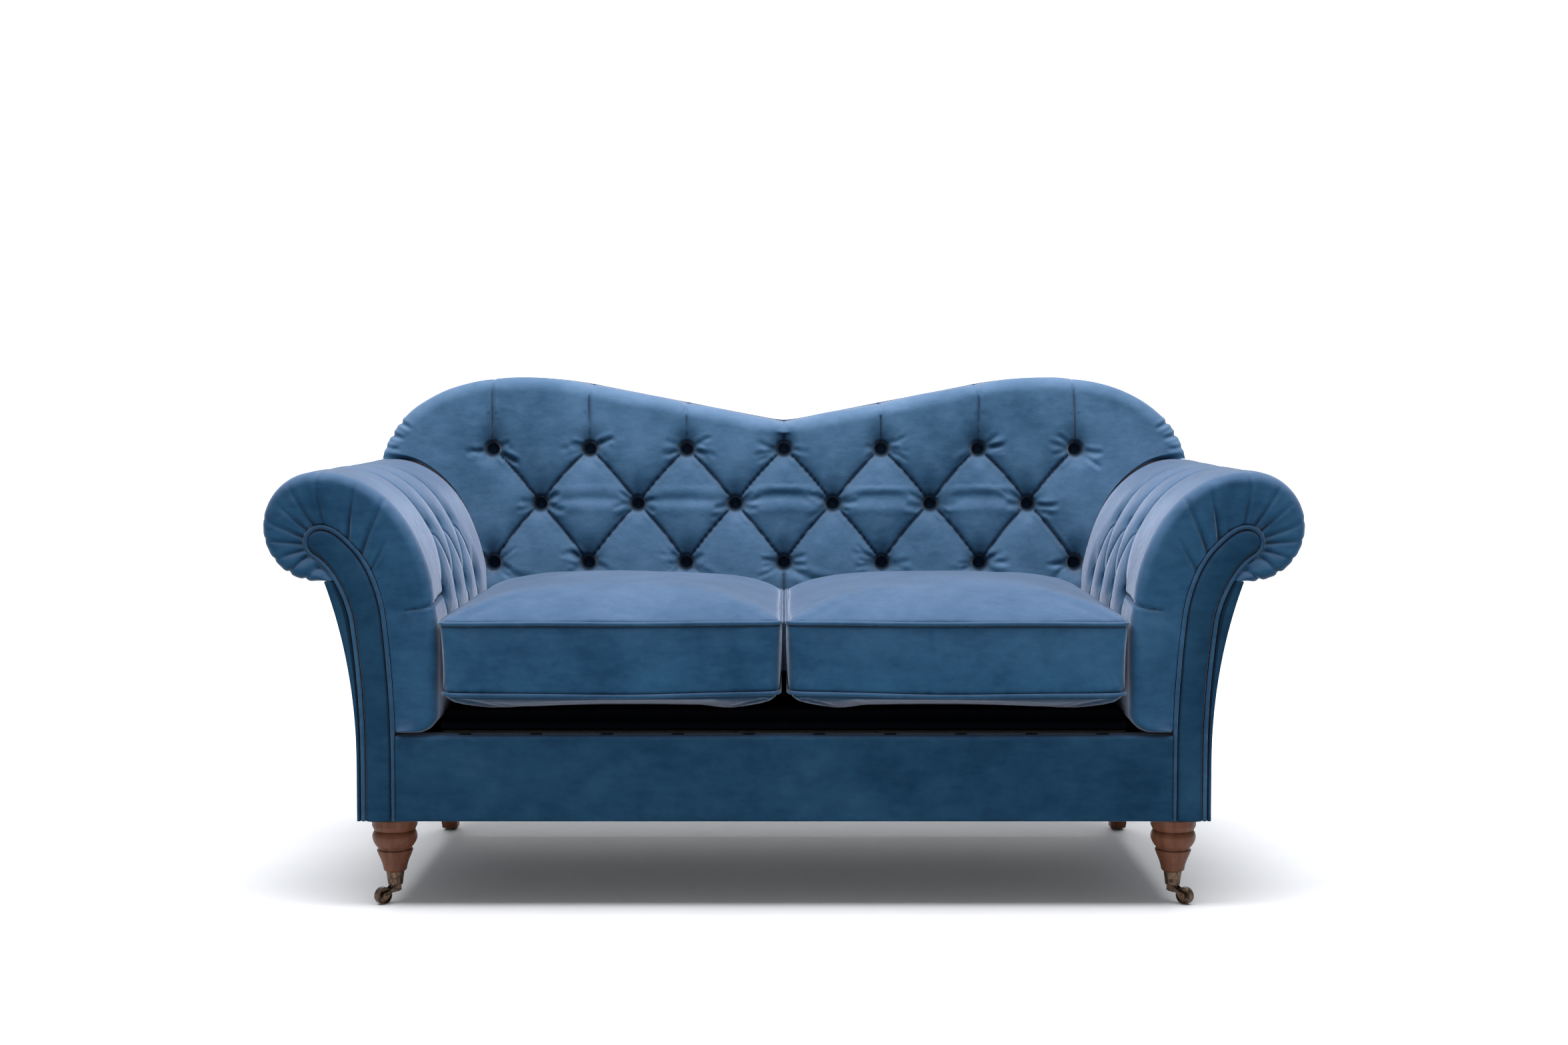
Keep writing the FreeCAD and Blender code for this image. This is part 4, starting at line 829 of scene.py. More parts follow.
def make_back():
    chance = np.random.default_rng(7)
    outline = hump_outline()
    run = length_along(outline)
    count = int(run[-1] / COVER_STEP_MM)
    o = at_length(outline, np.linspace(0, run[-1], count + 1))
    flow = np.gradient(o, axis=0)
    flow /= np.linalg.norm(flow, axis=1)[:, None]
    out = np.column_stack([-flow[:, 1], flow[:, 0]])
    out[0] = (0, 1)
    rim = np.minimum(RIM_MM, 0.6 * np.clip(o[:, 1] - ARM_TOP_MM - 1.2, 0, None))
    top = o - out * rim[:, None]
    top[0, 0] = 0
    # Lower ends of the lines: straight down in the middle, then along the seat and up the inside of the arm.
    a = np.radians(np.linspace(0, 90, 70))
    wall_x, shoulder_x = INNER_MM - 1.5, ROLL_X_MM - 12.0
    wall = np.column_stack([shoulder_x - (shoulder_x - wall_x) * np.cos(a),
                            WAIST_MM + (ARM_TOP_MM + 1.2 - WAIST_MM) * np.sin(a)])
    first = int(np.argmax(top[:, 0] > 500))
    low_path = np.vstack([[(top[first, 0], PAD_FOOT_MM + 1)], [(wall_x, PAD_FOOT_MM + 1)], wall,
                          [(WING_MM, ARM_TOP_MM + 1.2)]])
    low_run = length_along(low_path)[-1]
    n_side = count - first
    low_mid = np.column_stack([top[:first, 0], np.full(first, PAD_FOOT_MM + 1)])
    low_side = at_length(low_path, np.linspace(0, low_run, n_side + 1))
    # More lines are needed where the lower ends run faster than the upper ones.
    low = np.vstack([low_mid, low_side])
    fine = np.concatenate([np.arange(first), np.linspace(first, count, int(low_run / COVER_STEP_MM) + 1)])
    index = np.arange(count + 1)

    def refine(values):
        return np.column_stack([np.interp(fine, index, values[:, k]) for k in range(values.shape[1])])

    o, out, top, low = refine(o), refine(out), refine(top), refine(low)
    rim = np.interp(fine, index, rim)
    out /= np.linalg.norm(out, axis=1)[:, None]
    mirror = np.array([-1, 1])
    o, out, top, low = [np.vstack([v[1:][::-1] * mirror, v]) for v in (o, out, top, low)]
    rim = np.concatenate([rim[1:][::-1], rim])
    columns = len(o)

    rows = int((HUMP_MM - 60 - PAD_FOOT_MM) / COVER_STEP_MM)
    v = np.linspace(0, 1, rows + 1)
    front = low[:, None] + (top - low)[:, None] * v[None, :, None]
    long = np.linalg.norm(top - low, axis=1)
    phi = np.radians(np.linspace(0, 90, 10))[1:]
    rim_xz = top[:, None] + out[:, None] * (rim[:, None] * np.sin(phi)[None])[..., None]
    rim_d = rim[:, None] * (1 - np.cos(phi))[None]
    band = np.linspace(0, 1, 22)[1:]
    band_xz = o[:, None] + np.zeros((columns, len(band), 2))
    band_d = rim[:, None] + (POST_REAR_MM - rim[:, None]) * band[None]
    xz = np.concatenate([front, rim_xz, band_xz], 1)
    d = np.concatenate([np.zeros((columns, rows + 1)), rim_d, band_d], 1)
    flat = xz.reshape(-1, 2)

    upper, middle, lower = rows_of_seats
    pleats, creases = [], []
    for bx, bz in upper:
        top_z = np.interp(abs(bx), outline[:, 0], outline[:, 1]) if abs(bx) < WING_MM else bz
        lean_x = chance.uniform(-3, 5) * np.sign(bx)
        pleats.append((bowed((bx, bz), (bx + lean_x, top_z + 45), 0), 12.0, 2.6))
    for row, other in ((upper, middle), (middle, lower)):
        for bx, bz in row:
            for cx, cz in other:
                if abs(bx - cx) < 0.62 * PITCH_MM:
                    pleats.append((bowed((bx, bz), (cx, cz), 7 + chance.uniform(-2, 2)), 13.0, 13.0))
    for bx, bz in lower:
        if abs(bx) < INNER_MM - 40:
            pleats.append((bowed((bx, bz), (bx + chance.uniform(-2, 2), PAD_FOOT_MM), 0), 12.0, 7.0))
    # Open tucks round the outside of each hump.
    for share in (0.80, 0.87, 0.935):
        k = int(share * (len(outline) - 1))
        ox, oz = outline[k]
        nx, nz = (ox - HUMP_X_MM) / 266.0, (oz - ARM_TOP_MM) / 170.0
        size = math.hypot(nx, nz)
        nx, nz = nx / size, nz / size
        for side in (1, -1):
            creases.append((np.array([(side * (ox - 34 * nx), oz - 34 * nz),
                                      (side * (ox + 40 * nx), oz + 40 * nz)]), 3.2, 4.0))
    # Slack between neighbours of the middle row, and small drags beside every button.
    for (bx, bz), (cx, cz) in zip(middle[:-1], middle[1:]):
        lift = chance.uniform(5, 14)
        creases.append((bowed((bx + 8, bz + 3), (cx - 8, cz + 3), lift), chance.uniform(2.0, 3.6), 9.0))
        if chance.uniform() < 0.7:
            creases.append((bowed((bx + 30, bz + 14), (cx - 34, cz + 16), lift * 0.6),
                            chance.uniform(1.0, 2.0), 6.0))
    for (bx, bz), (cx, cz) in zip(lower[:-1], lower[1:]):
        creases.append((bowed((bx + 8, bz - 6), (cx - 60, cz - 34), -chance.uniform(8, 20)),
                        chance.uniform(1.6, 3.2), 7.0))
    for bx, bz in upper + middle + lower:
        for k in range(9):
            a = math.radians(chance.choice([0, 180]) + chance.uniform(-38, 38))
            r0, r1 = 15, chance.uniform(34, 66)
            tip = (bx + r1 * math.cos(a), bz + r1 * math.sin(a) + chance.uniform(-4, 4))
            creases.append((bowed((bx + r0 * math.cos(a), bz + r0 * math.sin(a)), tip,
                                  chance.uniform(-4, 4), 8),
                            chance.uniform(0.8, 2.4), chance.uniform(3.2, 5.5)))
    wave, moved = buttoned(flat, pleats, [((bx, bz), 40.0) for row in rows_of_seats for bx, bz in row],
                           creases,
                           74.0, 13.0)
    x_all, z_all = flat[:, 0], flat[:, 1]
    wave += (0.9 * np.sin(x_all / 41 + np.sin(z_all / 67)) * np.sin(z_all / 53 + 1.7)
             + 0.35 * np.sin(x_all / 17 + z_all / 23))
    wave = wave.reshape(columns, -1)
    moved = moved.reshape(columns, -1, 2)
    xz_new = xz.copy()
    inner = np.zeros(xz.shape[:2])
    inner[2:-2, 3:rows] = 1
    xz_new += (moved - xz) * inner[..., None]
    # The pad turns under along the arm and the seat.
    along = v[None] * long[:, None]
    tuck = 20 * (1 - np.clip(along / 20, 0, 1)) ** 2
    depth = wave.copy()
    depth[:, :rows + 1] += tuck
    edge_fade = np.clip(long / 60, 0, 1)[:, None]
    depth *= edge_fade
    angle = np.concatenate([np.zeros(rows + 1), phi, np.full(len(band), math.pi / 2)])
    fade = np.concatenate([np.ones(rows + 1 + len(phi)), 1 - 0.5 * band])
    limit = np.concatenate([np.full(rows + 1, 99.0), np.full(len(phi) + len(band), 7.0)])
    push = np.minimum(depth, limit[None]) * fade[None]
    xz_new -= out[:, None] * (push * np.sin(angle)[None])[..., None]
    d_new = d + push * np.cos(angle)[None]
    y = lean_mm(d_new, xz_new[..., 1])
    skin = lay(xz_new, y)
    # Hidden rear of the pad, stepped round the top rail.
    under = o - out * np.minimum(21.0, rim * 0.7)[:, None]
    steps = np.linspace(0, 1, 8)
    back_xz = under[:, None] + (low - under)[:, None] * steps[None, :, None]
    hidden = np.concatenate([lay(under[:, None], lean_mm(POST_REAR_MM, under[:, 1])[:, None]),
                             lay(back_xz, lean_mm(PAD_REAR_MM, back_xz[..., 1])),
                             lay(low[:, None], lean_mm(60.0, low[:, 1])[:, None])], 1)
    loops = np.concatenate([skin, hidden], 1)
    # Depths of the cover are kept for painted shade in its pleats and pits; the hidden rear gets a fixed
    # painted dark.
    hollow = np.concatenate([np.clip(push, 0, 40), np.full(hidden.shape[:2], 20.0)], 1)
    made = cover_skin("buttoned_back", loops, hollow.ravel())
    made.data.materials.append(painted_light_back_velvet)
    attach(made, "sofa")
    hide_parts("back_pad")


make_back()

# ================================================================ outside back
# One flat velvet panel over hessian and wadding closes the back. It is drawn tight over the posts and the top
# rail, and slip-stitched just inside its edge.


def make_outside_back():
    arch = hump_outline()
    scroll = turn((ROLL_X_MM, ROLL_Z_MM), ROLL_MM - 0.5, 83.5, -88, 70)
    flare = curve([(BODY_MM, FLARE_MM), (ROLL_X_MM - 11, ROLL_Z_MM - ROLL_MM + 0.6)], (0, 1), (0.36, 1))[::-1]
    half = np.vstack([arch, scroll, flare, [(BODY_MM, OUTSIDE_FOOT_MM), (0, OUTSIDE_FOOT_MM)]])
    half = at_length(half, np.linspace(0, length_along(half)[-1], 420))
    ring = np.vstack([half, half[1:-1][::-1] * np.array([-1, 1])])
    centre = np.array([0.0, 600.0])
    f = np.concatenate([[0.02], np.linspace(0.05, 0.965, 44), np.linspace(0.972, 1.0, 8)])
    xz = centre + (ring - centre)[:, None] * f[None, :, None]
    gap = np.linalg.norm(ring - centre, axis=1)[:, None] * (1 - f)[None]
    round_off = 3.0 * (1 - np.clip(gap / 5, 0, 1)) ** 2
    seam = 1.2 * np.exp(-((gap - 9) / 2.2) ** 2)
    x, z = xz[..., 0], xz[..., 1]
    slack = (0.9 + 0.6 * np.sin(x / 90 + z / 70) * np.sin(z / 55 - x / 130)
             + 0.3 * np.sin(x / 33) * np.sin(z / 41))
    outer = 157.9 - round_off - seam - slack * np.clip(gap / 60, 0, 1)
    face = lay(xz, lean_mm(outer, z))
    rim = lay(ring[:, None], lean_mm(150.5, ring[:, 1])[:, None])
    inner_f = f[::-1][::6]
    inside_xz = centre + (ring - centre)[:, None] * inner_f[None, :, None]
    inside = lay(inside_xz, lean_mm(150.5, inside_xz[..., 1]))
    rows = np.concatenate([face, rim, inside], 1).transpose(1, 0, 2)
    shade = np.zeros(rows.shape[:2])
    made = cover_skin("outside_back_cover", rows, shade.ravel())
    made.data.materials.append(painted_shade_velvet)
    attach(made, "sofa")
    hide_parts("outside_back")


make_outside_back()

# ================================================================ front border
# The velvet border below the seat, stretched over the front rail on thin wadding. It is turned over the top
# of the rail and stapled behind, and its lower edge is drawn under the rail.
low, high = corners("front_border")
along = np.linspace(low[0], high[0], 330)
y0, y1, z0, z1 = low[1], low[1] + 8.0, low[2], high[2]
lip_y = high[1]
front_z = np.linspace(z0 + 3, z1 - 6, 46)
line = ([(y1, z0 + 0.4), (y0 + 4, z0), (y0 + 1.2, z0 + 1.0)] + [(y0, z) for z in front_z]
        + [(y0 + 1.2, z1 - 3), (y0 + 3.6, z1 - 1), (y0 + 7, z1 - 0.2)]
        + [(y0 + 8 + (lip_y - y0 - 9) * s, z1 - 0.2) for s in np.linspace(0.1, 1, 8)]
        + [(lip_y - 1, z1 - 5.6), (y1, z1 - 5.6)])
line = np.array(line)
loop = np.zeros((len(along), len(line), 3))
loop[..., 0] = along[:, None]
loop[..., 1], loop[..., 2] = line[None, :, 0], line[None, :, 1]
middle = np.abs(line[:, 1] - (z0 + z1) / 2) < (z1 - z0) / 2 - 2
on_front = (line[:, 0] < y0 + 0.5) & middle
x, z = loop[..., 0], loop[..., 2]
soft = (0.5 * np.sin(x / 71 + 0.6 * np.sin(z / 40)) + 0.45 * np.sin(x / 29 + z / 21) * np.sin(x / 113)
        + 0.35 * np.sin(x / 17 - z / 12 + 2) * np.sin(x / 57 + 1)
        + 0.8 * (z1 - z) / (z1 - z0) * np.sin(x / 41 + 3) ** 2)
loop[..., 1] += (0.4 + soft) * on_front[None]
border = cover_skin("front_border_cover", loop, np.zeros(loop.shape[:2]).ravel())
border.data.materials.append(painted_shade_velvet)
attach(border, "sofa")
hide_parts("front_border")

# ================================================================ seat deck and its edge roll
# The platform under the cushions: wadding under black platform cloth, painted darker still as the shade under
# the cushions, with a rolled and stitched front edge that keeps the cushions from sliding.
platform = Finish("platform_cloth_painted_shade", Roughness=0.95, Specular_IOR_Level=0.05)
weave = platform.node("TexWave", {"wave_type": "BANDS", "bands_direction": "X"}, Vector=platform.place(),
                      Scale=420.0)
woof = platform.node("TexWave", {"wave_type": "BANDS", "bands_direction": "Y"}, Vector=platform.place(),
                     Scale=420.0)
grid = platform.signal(weave, 1) * platform.signal(woof, 1)
# Black cloth, darkened further as painted shade for the gap under the cushions.
platform.feed("Base Color", platform.mix(grid, (0.0015, 0.002, 0.004, 1), (0.005, 0.006, 0.010, 1)))
platform.feed("Normal", platform.bump(grid, 0.4, 0.0005))

low, high = corners("seat_deck")
x = np.linspace(low[0], high[0], 130)
y = np.linspace(low[1] + 1, high[1] - 1, 70)
deck_rows = []
for cx in x:
    side_fall = 5.0 * (1 - min(1, (min(cx - low[0], high[0] - cx)) / 14)) ** 2
    top = high[2] - 0.6 - side_fall - 4.0 * (1 - np.clip(np.minimum(y - y[0], y[-1] - y) / 14, 0, 1)) ** 2
    top = top - 1.2 * np.abs(np.sin((cx + y) / 62)) ** 12 - 1.2 * np.abs(np.sin((cx - y) / 62)) ** 12
    over = np.column_stack([np.full(len(y), cx), y, top])
    far_y = min(y[-1], lean_mm(-2.0, low[2]))
    over[:, 1] = low[1] + 1 + (over[:, 1] - low[1] - 1) * (far_y - low[1] - 1) / (y[-1] - low[1] - 1)
    below = np.array([(cx, far_y, low[2] + 0.3), (cx, low[1] + 1, low[2] + 0.3)])
    deck_rows.append(np.vstack([over, below]))
deck = cover_skin("platform", np.array(deck_rows), np.zeros(130 * 72))
deck.data.materials.append(platform.material)
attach(deck, "sofa")
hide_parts("seat_deck")

low, high = corners("seat_edge_roll")
x = np.linspace(low[0], high[0], 400)
a = np.radians(np.linspace(0, 360, 29)[:-1])
ry, rz = (high[1] - low[1]) / 2, (high[2] - low[2]) / 2
gather = 1 - 0.05 * np.abs(np.sin(x / 9.5)) ** 6
roll = np.stack([x[:, None] + np.zeros((1, len(a))),
                 (low[1] + high[1]) / 2 + ry * gather[:, None] * np.cos(a)[None],
                 (low[2] + high[2]) / 2 + rz * gather[:, None] * np.sin(a)[None]], -1)
edge_roll = cover_skin("front_edge_roll", roll, np.zeros(roll.shape[:2]).ravel())
edge_roll.data.materials.append(platform.material)
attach(edge_roll, "sofa")
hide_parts("seat_edge_roll")

# ================================================================ seat cushions
# Two loose box cushions: feather-wrapped foam in a velvet case, crowned above and below. A boxing runs
# between two corded welts, with a zip along its back.
CUSHION_X0, CUSHION_Y0, CUSHION_Z0 = corners("cushion_piping_right")[0]
CUSHION_X1, CUSHION_Y1, CUSHION_Z1 = corners("cushion_piping_right")[1]
SEAM_LOW_MM, SEAM_TOP_MM = CUSHION_Z0 + WELT_MM, CUSHION_Z1 - WELT_MM
CROWN_TOP_MM, CROWN_LOW_MM = corners("seat_cushion_right")[1][2], corners("seat_cushion_right")[0][2]


def seam_ring(level, count=360):
    """Line of a welt round the right cushion, with rounded corners, drawn in a little at the lower front."""
    inset, r = WELT_MM, 22.0
    x0, x1, y0, y1 = CUSHION_X0 + inset, CUSHION_X1 - inset, CUSHION_Y0 + inset, CUSHION_Y1 - inset
    if level == "low":
        x0, x1, y0 = x0 + 3.5, x1 - 5.0, y0 + 2
    corner = [((x1 - r, y0 + r), -90, 0), ((x1 - r, y1 - r), 0, 90), ((x0 + r, y1 - r), 90, 180),
              ((x0 + r, y0 + r), 180, 270)]
    line = np.vstack([turn(c, r, a0, a1, 12) for c, a0, a1 in corner])
    line = np.vstack([line, line[:1]])
    line = at_length(line, np.linspace(0, length_along(line)[-1], count + 1))[:-1]
    z = SEAM_TOP_MM if level == "top" else SEAM_LOW_MM
    mid_x, span = (x0 + x1) / 2, x1 - x0
    u = (line[:, 0] - mid_x) / (span / 2)
    if level == "top":
        dip = -1.5 + 3.5 * np.clip(-u - 0.45, 0, 1)
    else:
        dip = -3.5 * (1 - u ** 2) + 2.5 * np.clip(-u, 0, 1)
    heights = z + dip + 0.5 * np.sin(line[:, 0] / 47 + line[:, 1] / 61)
    return np.column_stack([line, heights])


def make_cushion():
    """The right cushion, blown up from a smaller box with its seams held."""
    top, low_ring = seam_ring("top"), seam_ring("low")
    centre = np.array([(CUSHION_X0 + CUSHION_X1) / 2, (CUSHION_Y0 + CUSHION_Y1) / 2])
    rows = []
    for f, rise in ((0.06, 1.0), (0.35, 1.0), (0.62, 0.97), (0.80, 0.90), (0.90, 0.76), (0.955, 0.54),
                    (0.985, 0.30)):
        low_z = SEAM_LOW_MM - (SEAM_LOW_MM - CROWN_LOW_MM - 3) * rise
        rows.append(np.column_stack([centre + (low_ring[:, :2] - centre) * f, np.full(360, low_z)]))
    rows.append(low_ring)
    for s in np.linspace(0, 1, 11)[1:-1]:
        mid = low_ring * (1 - s) + top * s
        pull = 1 - 0.006 * math.sin(math.pi * s)
        mid[:, :2] = centre + (mid[:, :2] - centre) * pull
        rows.append(mid)
    rows.append(top)
    for f, rise in ((0.98, 0.12), (0.92, 0.34), (0.82, 0.58), (0.68, 0.78), (0.5, 0.91), (0.3, 0.97),
                    (0.06, 1.0)):
        top_z = SEAM_TOP_MM + (CROWN_TOP_MM - SEAM_TOP_MM - 9) * rise
        rows.append(np.column_stack([centre + (top[:, :2] - centre) * f, np.full(360, top_z)]))
    body = cover_skin("cushion_body", np.array(rows), np.zeros(len(rows) * 360))
    bpy.context.view_layer.objects.active = body
    body.select_set(True)
    body.data.remesh_voxel_size = 0.0065
    bpy.ops.object.voxel_remesh()
    body.select_set(False)
    inflate(body, 12.0)
    return body


def inflate(body, cap_mm):
    """Twenty frames of cloth under pressure with the seam lines held, and a cap on the movement."""
    start = np.empty(len(body.data.vertices) * 3)
    body.data.vertices.foreach_get("co", start)
    start = start.reshape(-1, 3)
    rings = np.vstack([seam_ring("top"), seam_ring("low")]) * MM
    gap = np.full(len(start), 1.0)
    for k in range(0, len(rings), 3):
        gap = np.minimum(gap, np.linalg.norm(start - rings[k], axis=1))
    held = body.vertex_groups.new(name="seams")
    for i in np.where(gap < 0.009)[0]:
        held.add([int(i)], 1.0, "REPLACE")
    cloth = body.modifiers.new("cloth", "CLOTH")
    cloth.settings.use_pressure = True
    cloth.settings.uniform_pressure_force = 4.0
    cloth.settings.effector_weights.gravity = 0.0
    cloth.settings.quality = 5
    cloth.settings.mass = 0.4
    cloth.settings.vertex_group_mass = "seams"
    scene = bpy.context.scene
    for frame_number in range(1, 21):
        scene.frame_set(frame_number)
    dg = bpy.context.evaluated_depsgraph_get()
    after = np.empty(len(start) * 3)
    body.evaluated_get(dg).data.vertices.foreach_get("co", after)
    after = after.reshape(-1, 3)
    body.modifiers.remove(cloth)
    scene.frame_set(1)
    move = after - start
    size = np.linalg.norm(move, axis=1)
    move *= np.minimum(1, cap_mm * MM / np.maximum(size, 1e-9))[:, None]
    moved = start + move
    moved[:, 2] = np.maximum(moved[:, 2], (CROWN_LOW_MM + 0.5) * MM)
    body.data.vertices.foreach_set("co", moved.ravel())


cushion_start = make_cushion()
co = np.empty(len(cushion_start.data.vertices) * 3)
cushion_start.data.vertices.foreach_get("co", co)
co = co.reshape(-1, 3) / MM
for side, hand in ((1, "right"), (-1, "left")):
    chance = np.random.default_rng(31 + side)
    body = cushion_start.copy()
    body.data = cushion_start.data.copy()
    body.name = "cushion_" + hand
    bpy.context.scene.collection.objects.link(body)
    place = co.copy()
    if side < 0:
        place[:, 0] *= -1
        body.data.flip_normals()
    body.data.vertices.foreach_set("co", (place * MM).ravel())
    body.data.update()
    bpy.context.view_layer.objects.active = body
    body.select_set(True)
    for kept in [a.name for a in body.data.attributes if a.name in ("hollow", "upward")]:
        body.data.attributes.remove(body.data.attributes[kept])
    smoother = body.modifiers.new("subdivision", "SUBSURF")
    smoother.levels = smoother.render_levels = 1
    bpy.ops.object.modifier_apply(modifier=smoother.name)
    place = np.empty(len(body.data.vertices) * 3)
    body.data.vertices.foreach_get("co", place)
    place = place.reshape(-1, 3) / MM
    normal = np.empty(len(body.data.vertices) * 3)
    body.data.vertices.foreach_get("normal", normal)
    normal = normal.reshape(-1, 3)
    x, y, z = np.abs(place[:, 0]), place[:, 1], place[:, 2]
    # Gathers of the boxing and the panels at their seams, and creases down the front of the boxing.
    boxing = np.clip(1 - np.abs(normal[:, 2]) * 1.6, 0, 1)
    push = np.zeros(len(place))
    for k in range(46):
        at = chance.uniform(CUSHION_X0 + 25, CUSHION_X1 - 25)
        deep, long, wide = chance.uniform(0.4, 1.5), chance.uniform(14, 44), chance.uniform(3.5, 8)
        from_top = chance.uniform() < 0.6
        edge_z = SEAM_TOP_MM - z if from_top else z - SEAM_LOW_MM
        drift = chance.uniform(-0.25, 0.25)
        near = np.exp(-((x - at - drift * edge_z) / wide) ** 2)
        push += deep * boxing * (normal[:, 1] < -0.3) * np.clip(1 - edge_z / long, 0, 1) * near
    for corner_x in (CUSHION_X0, CUSHION_X1):
        for k in range(7):
            away = 10 + 13 * k + chance.uniform(-3, 3)
            at = corner_x + (away if corner_x == CUSHION_X0 else -away)
            slope = 0.5 * (1 if corner_x == CUSHION_X0 else -1)
            edge_z = z - SEAM_LOW_MM
            near = np.exp(-((x - at - slope * edge_z) / 4.5) ** 2)
            push += ((1.6 - 0.15 * k) * boxing * (normal[:, 1] < -0.3)
                     * np.clip(1 - edge_z / 70, 0, 1) * near)
    if side > 0:
        at = CUSHION_X0 + 0.42 * (CUSHION_X1 - CUSHION_X0)
        push += 2.4 * boxing * (normal[:, 1] < -0.3) * np.exp(-((x - at - 3 * np.sin(z / 30)) / 6) ** 2)
        push -= 1.2 * boxing * (normal[:, 1] < -0.3) * np.exp(-((x - at - 14) / 9) ** 2)
    top_side = np.clip(normal[:, 2] * 2, 0, 1)
    push += top_side * (1.1 * np.sin(x / 58 + side) * np.sin(y / 71 + 1.1) + 0.5 * np.sin(x / 27 + y / 33))
    for k in range(20):
        at = chance.uniform(CUSHION_X0 + 20, CUSHION_X1 - 20)
        reach = np.clip(1 - (y - CUSHION_Y0) / chance.uniform(25, 60), 0, 1)
        push += chance.uniform(0.4, 1.2) * top_side * reach * np.exp(-((x - at) / 6) ** 2)
    # The covers sink to the welts, and a band just under each welt is painted in shade.
    hollow = np.zeros(len(place))
    for ring in (seam_ring("top"), seam_ring("low")):
        order = np.argsort(ring[:, 0])
        level = np.interp(x, ring[order, 0], ring[order, 2])
        near = np.exp(-((z - level) / 5.0) ** 2) * (np.abs(normal[:, 2]) < 0.97)
        push += 2.8 * near
        # Painted shade in a band just under the welt.
        hollow = np.maximum(hollow,
                            22 * np.exp(-((z - level + 5.0) / 3.5) ** 2) * (np.abs(normal[:, 2]) < 0.8))
    place -= normal * push[:, None]
    body.data.vertices.foreach_set("co", (place * MM).ravel())
    shade = body.data.attributes.new("hollow", "FLOAT", "POINT")
    shade.data.foreach_set("value", (hollow / 40).astype(np.float32))
    body.data.update()
    bpy.ops.object.shade_smooth_by_angle(angle=math.radians(75))
    body.select_set(False)
    note_upward_for_painted_light(body)
    body.data.materials.clear()
    body.data.materials.append(blue_velvet)
    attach(body, "cushion_" + hand)
    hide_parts("seat_cushion_" + hand)
    lines = []
    for level in ("top", "low"):
        line = seam_ring(level)
        line[:, 0] *= side
        lines.append(line)
    welt("cushion_welts_" + hand, lines, WELT_MM, True, blue_velvet, "cushion_" + hand,
         "cushion_piping_" + hand)
bpy.data.objects.remove(cushion_start)

# ================================================================ covered buttons
# Metal-shelled buttons covered in the same velvet, each tied through the padding with twine. Their finish is
# painted shade: almost black, as they look down in their pits.
pit_shade_velvet = Finish("button_velvet_painted_shade", Roughness=0.92, Sheen_Weight=0.2, Sheen_Tint=LAVENDER,
                    Specular_IOR_Level=0.1)
pit_nap = pit_shade_velvet.noise(pit_shade_velvet.place(), 900.0, 3.0)
# Painted shade: the velvet of the buttons is made almost black.
pit_shade_velvet.feed("Base Color", pit_shade_velvet.mix(pit_nap.clamped(0.3, 0.7), (0.002, 0.009, 0.022, 1),
                                             (0.006, 0.02, 0.042, 1)))
pit_shade_velvet.feed("Normal", pit_shade_velvet.bump(pit_nap, 0.3, 0.0006))


def dress(material, *names):
    """Gives CAD nodes a finish."""
    for name in names:
        for place in nodes[name].material_slots:
            place.material = material


dress(pit_shade_velvet.material, "arm_buttons", "back_buttons")

# ================================================================ timber frame
# Sawn and planed beech rails, posts and blocks, dowelled, glued and screwed together. The grain runs along
# each length.


def timber(name, along, deep, pale, roughness, coat=0.0):
    """Wood with its grain stretched along one axis: rings, fine fibres and a slow change of tone."""
    wood = Finish(name, Coat_Weight=coat, Coat_Roughness=0.25, Specular_IOR_Level=0.2)
    lines = wood.place([4 if k == along else 60 for k in range(3)])
    rings = wood.noise(lines, 1.1, 4.0, 0.6)
    fibres = wood.noise(wood.place([25 if k == along else 900 for k in range(3)]), 1.0, 3.0, 0.7)
    drift = wood.noise(wood.place(), 7.0)
    grain = (rings * 0.5 + fibres * 0.25 + drift * 0.25).clamped(0.36, 0.64)
    wood.feed("Base Color", wood.mix(grain, deep, pale))
    wood.feed("Roughness", fibres * 0.12 + roughness)
    wood.feed("Normal", wood.bump(fibres, 0.25, 0.0004))
    return wood.material


BEECH = (0.42, 0.25, 0.13, 1), (0.62, 0.42, 0.25, 1)
dress(timber("beech_across", 0, *BEECH, 0.6), "front_rail", "back_rail", "back_stuffing_rails",
      "back_top_rail", "leg_blocks")
dress(timber("beech_along", 1, *BEECH, 0.6), "side_rail_left", "side_rail_right", "centre_rail",
      "arm_stuffing_rails",
      "arm_top_rails")
dress(timber("beech_upright", 2, *BEECH, 0.6), "arm_board_left", "arm_board_right", "back_post_left",
      "back_post_right",
      "back_upright")

# ================================================================ springs, webbing and seat cloth
# Zigzag springs are clipped to the rails front to back, with hessian stretched over them. Jute webbing is
# tacked behind the padding of the back and the arms.
steel = Finish("oiled_spring_steel", Metallic=1.0)
mill = steel.noise(steel.place(), 160.0, 3.0)
steel.feed("Base Color", steel.mix(mill, (0.05, 0.05, 0.055, 1), (0.14, 0.14, 0.15, 1)))
steel.feed("Roughness", mill * 0.2 + 0.35)
dress(steel.material, "seat_springs")

zinc = Finish("zinc_plate", Metallic=1.0)
spangle = zinc.node("TexVoronoi", {"feature": "F1"}, Vector=zinc.place(), Scale=420.0)
spangle = zinc.signal(spangle).clamped(0.0, 1.0)
zinc.feed("Base Color", zinc.mix(spangle, (0.42, 0.43, 0.44, 1), (0.62, 0.63, 0.64, 1)))
zinc.feed("Roughness", spangle * 0.15 + 0.3)
dress(zinc.material, "leg_bolts", "caster_pivots", "zip_slider_left", "zip_slider_right")

japan = Finish("black_japanned_steel", Specular_IOR_Level=0.3)
speck = japan.noise(japan.place(), 300.0)
japan.feed("Base Color", japan.mix(speck, (0.008, 0.008, 0.009, 1), (0.03, 0.03, 0.032, 1)))
japan.feed("Roughness", speck * 0.2 + 0.35)
dress(japan.material, "leg_plates", "spring_clips")


